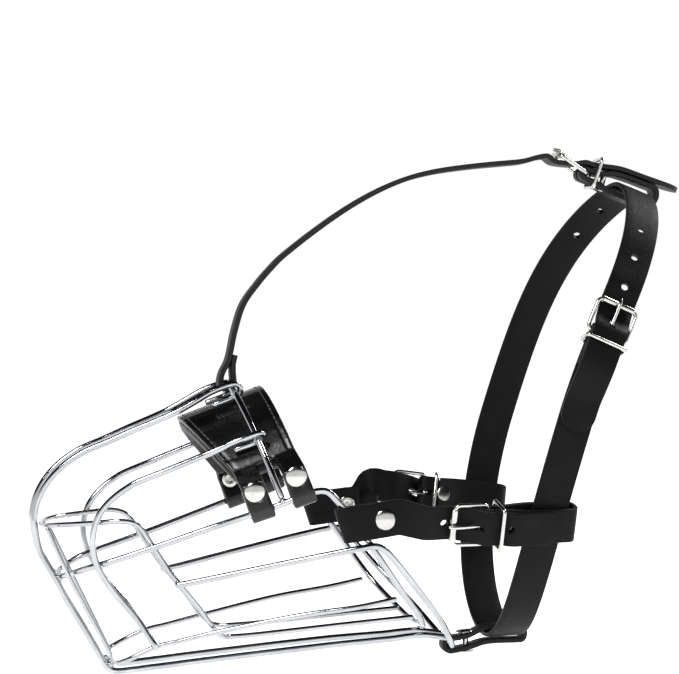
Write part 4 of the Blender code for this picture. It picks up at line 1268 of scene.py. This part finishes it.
# %% Stitches
SEAM_IN = 3.0 * MM
STITCH = 2.4 * MM
STITCH_PITCH = 3.4 * MM
THREAD_R = 0.32 * MM
STITCH_SHAPE = ((0, -0.6), (0.2, -0.1), (0.5, 0.12), (0.8, -0.1), (1, -0.6))  # (along, lift in radii)
FURROW = 0.30 * MM
FURROW_WIDTH = 1.1 * MM
arch_middle = (arch_run[0] + arch_run[-1]) / 2
crown = arch_run[len(arch_run) // 2]
arch_up = Vector(crown - np.array([arch_middle[0], 0, arch_middle[2]])).normalized()
arch_back = Vector((arch_up.z, 0, -arch_up.x))
arch_centre = Vector(crown) - float(arch_radius) * arch_up
tree_of_cover = BVHTree.FromObject(cover, bpy.context.evaluated_depsgraph_get())
pad_points = np.array([v.co for v in cover.data.vertices])
pad_local = pad_points - np.array(arch_centre)
pad_back = pad_local @ np.array(arch_back)
pad_angle = np.arctan2(pad_local[:, 1], pad_local @ np.array(arch_up))


def edge_at(angle, rear):
    """How far back the pad's edge lies at this angle round the arch."""
    near = pad_back[np.abs(pad_angle - angle) < radians(1.5)]
    return near.max() - SEAM_IN if rear else near.min() + SEAM_IN


def on_cover(angle, back):
    """The outer face of the cover at this angle and distance back: (point, outward)."""
    out = arch_up * cos(angle) + Vector((0, sin(angle), 0))
    origin = arch_centre + arch_back * back + out * 0.09
    point, normal, _, _ = tree_of_cover.ray_cast(origin, -out)
    return point, normal


SEAM_HALF = radians(62)
EVEN_OVER = 13  # readings of the edge that are averaged into one
seams = []
for rear in (False, True):
    angles = np.linspace(-SEAM_HALF, SEAM_HALF, 160)
    edges = np.pad([edge_at(a, rear) for a in angles], EVEN_OVER // 2, "edge")
    backs = np.convolve(edges, np.ones(EVEN_OVER) / EVEN_OVER, "valid")
    line = [on_cover(a, b) for a, b in zip(angles, backs)]
    seams.append([(p, n) for p, n in line if p is not None])
print("seam points:", [len(seam) for seam in seams])


def stitches(name, seam):
    """Short rounded threads along a seam, their ends sunk in the leather."""
    points = np.array([p for p, _ in seam])
    outs = np.array([n for _, n in seam])
    run = np.concatenate([[0], np.cumsum(np.linalg.norm(np.diff(points, axis=0), axis=1))])
    shape = bpy.data.curves.new(name, "CURVE")
    shape.dimensions = "3D"
    shape.bevel_depth = THREAD_R
    shape.bevel_resolution = 3
    shape.use_fill_caps = True
    for begin in np.arange(0.5 * STITCH_PITCH, run[-1] - STITCH, STITCH_PITCH):
        line = shape.splines.new("POLY")
        line.points.add(4)
        for point, (share, lift) in zip(line.points, STITCH_SHAPE):
            at = begin + share * STITCH
            co = np.array([np.interp(at, run, points[:, i]) for i in range(3)])
            out = np.array([np.interp(at, run, outs[:, i]) for i in range(3)])
            point.co = (*(co + out * (lift * THREAD_R - 0.5 * FURROW)), 1)
            point.radius = 1.0
    made = linked(name, shape, [THREAD])
    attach(made, "harness")
    print(name, len(shape.splines))


def press(piece, seam, depth, width):
    """Presses a furrow along a seam into a piece's outer face."""
    points = np.array([p for p, _ in seam])
    outs = np.array([n for _, n in seam])
    for vert in piece.data.vertices:
        apart = np.linalg.norm(points - np.array(vert.co), axis=1)
        nearest = apart.argmin()
        if apart[nearest] < 2 * width:
            share = np.exp(-((apart[nearest] / width) ** 2) * 2)
            vert.co -= Vector(outs[nearest]) * depth * share
    piece.data.update()


for label, seam in zip(("front", "rear"), seams):
    stitches(f"pad_stitches_{label}", seam)
    press(cover, seam, FURROW, FURROW_WIDTH)
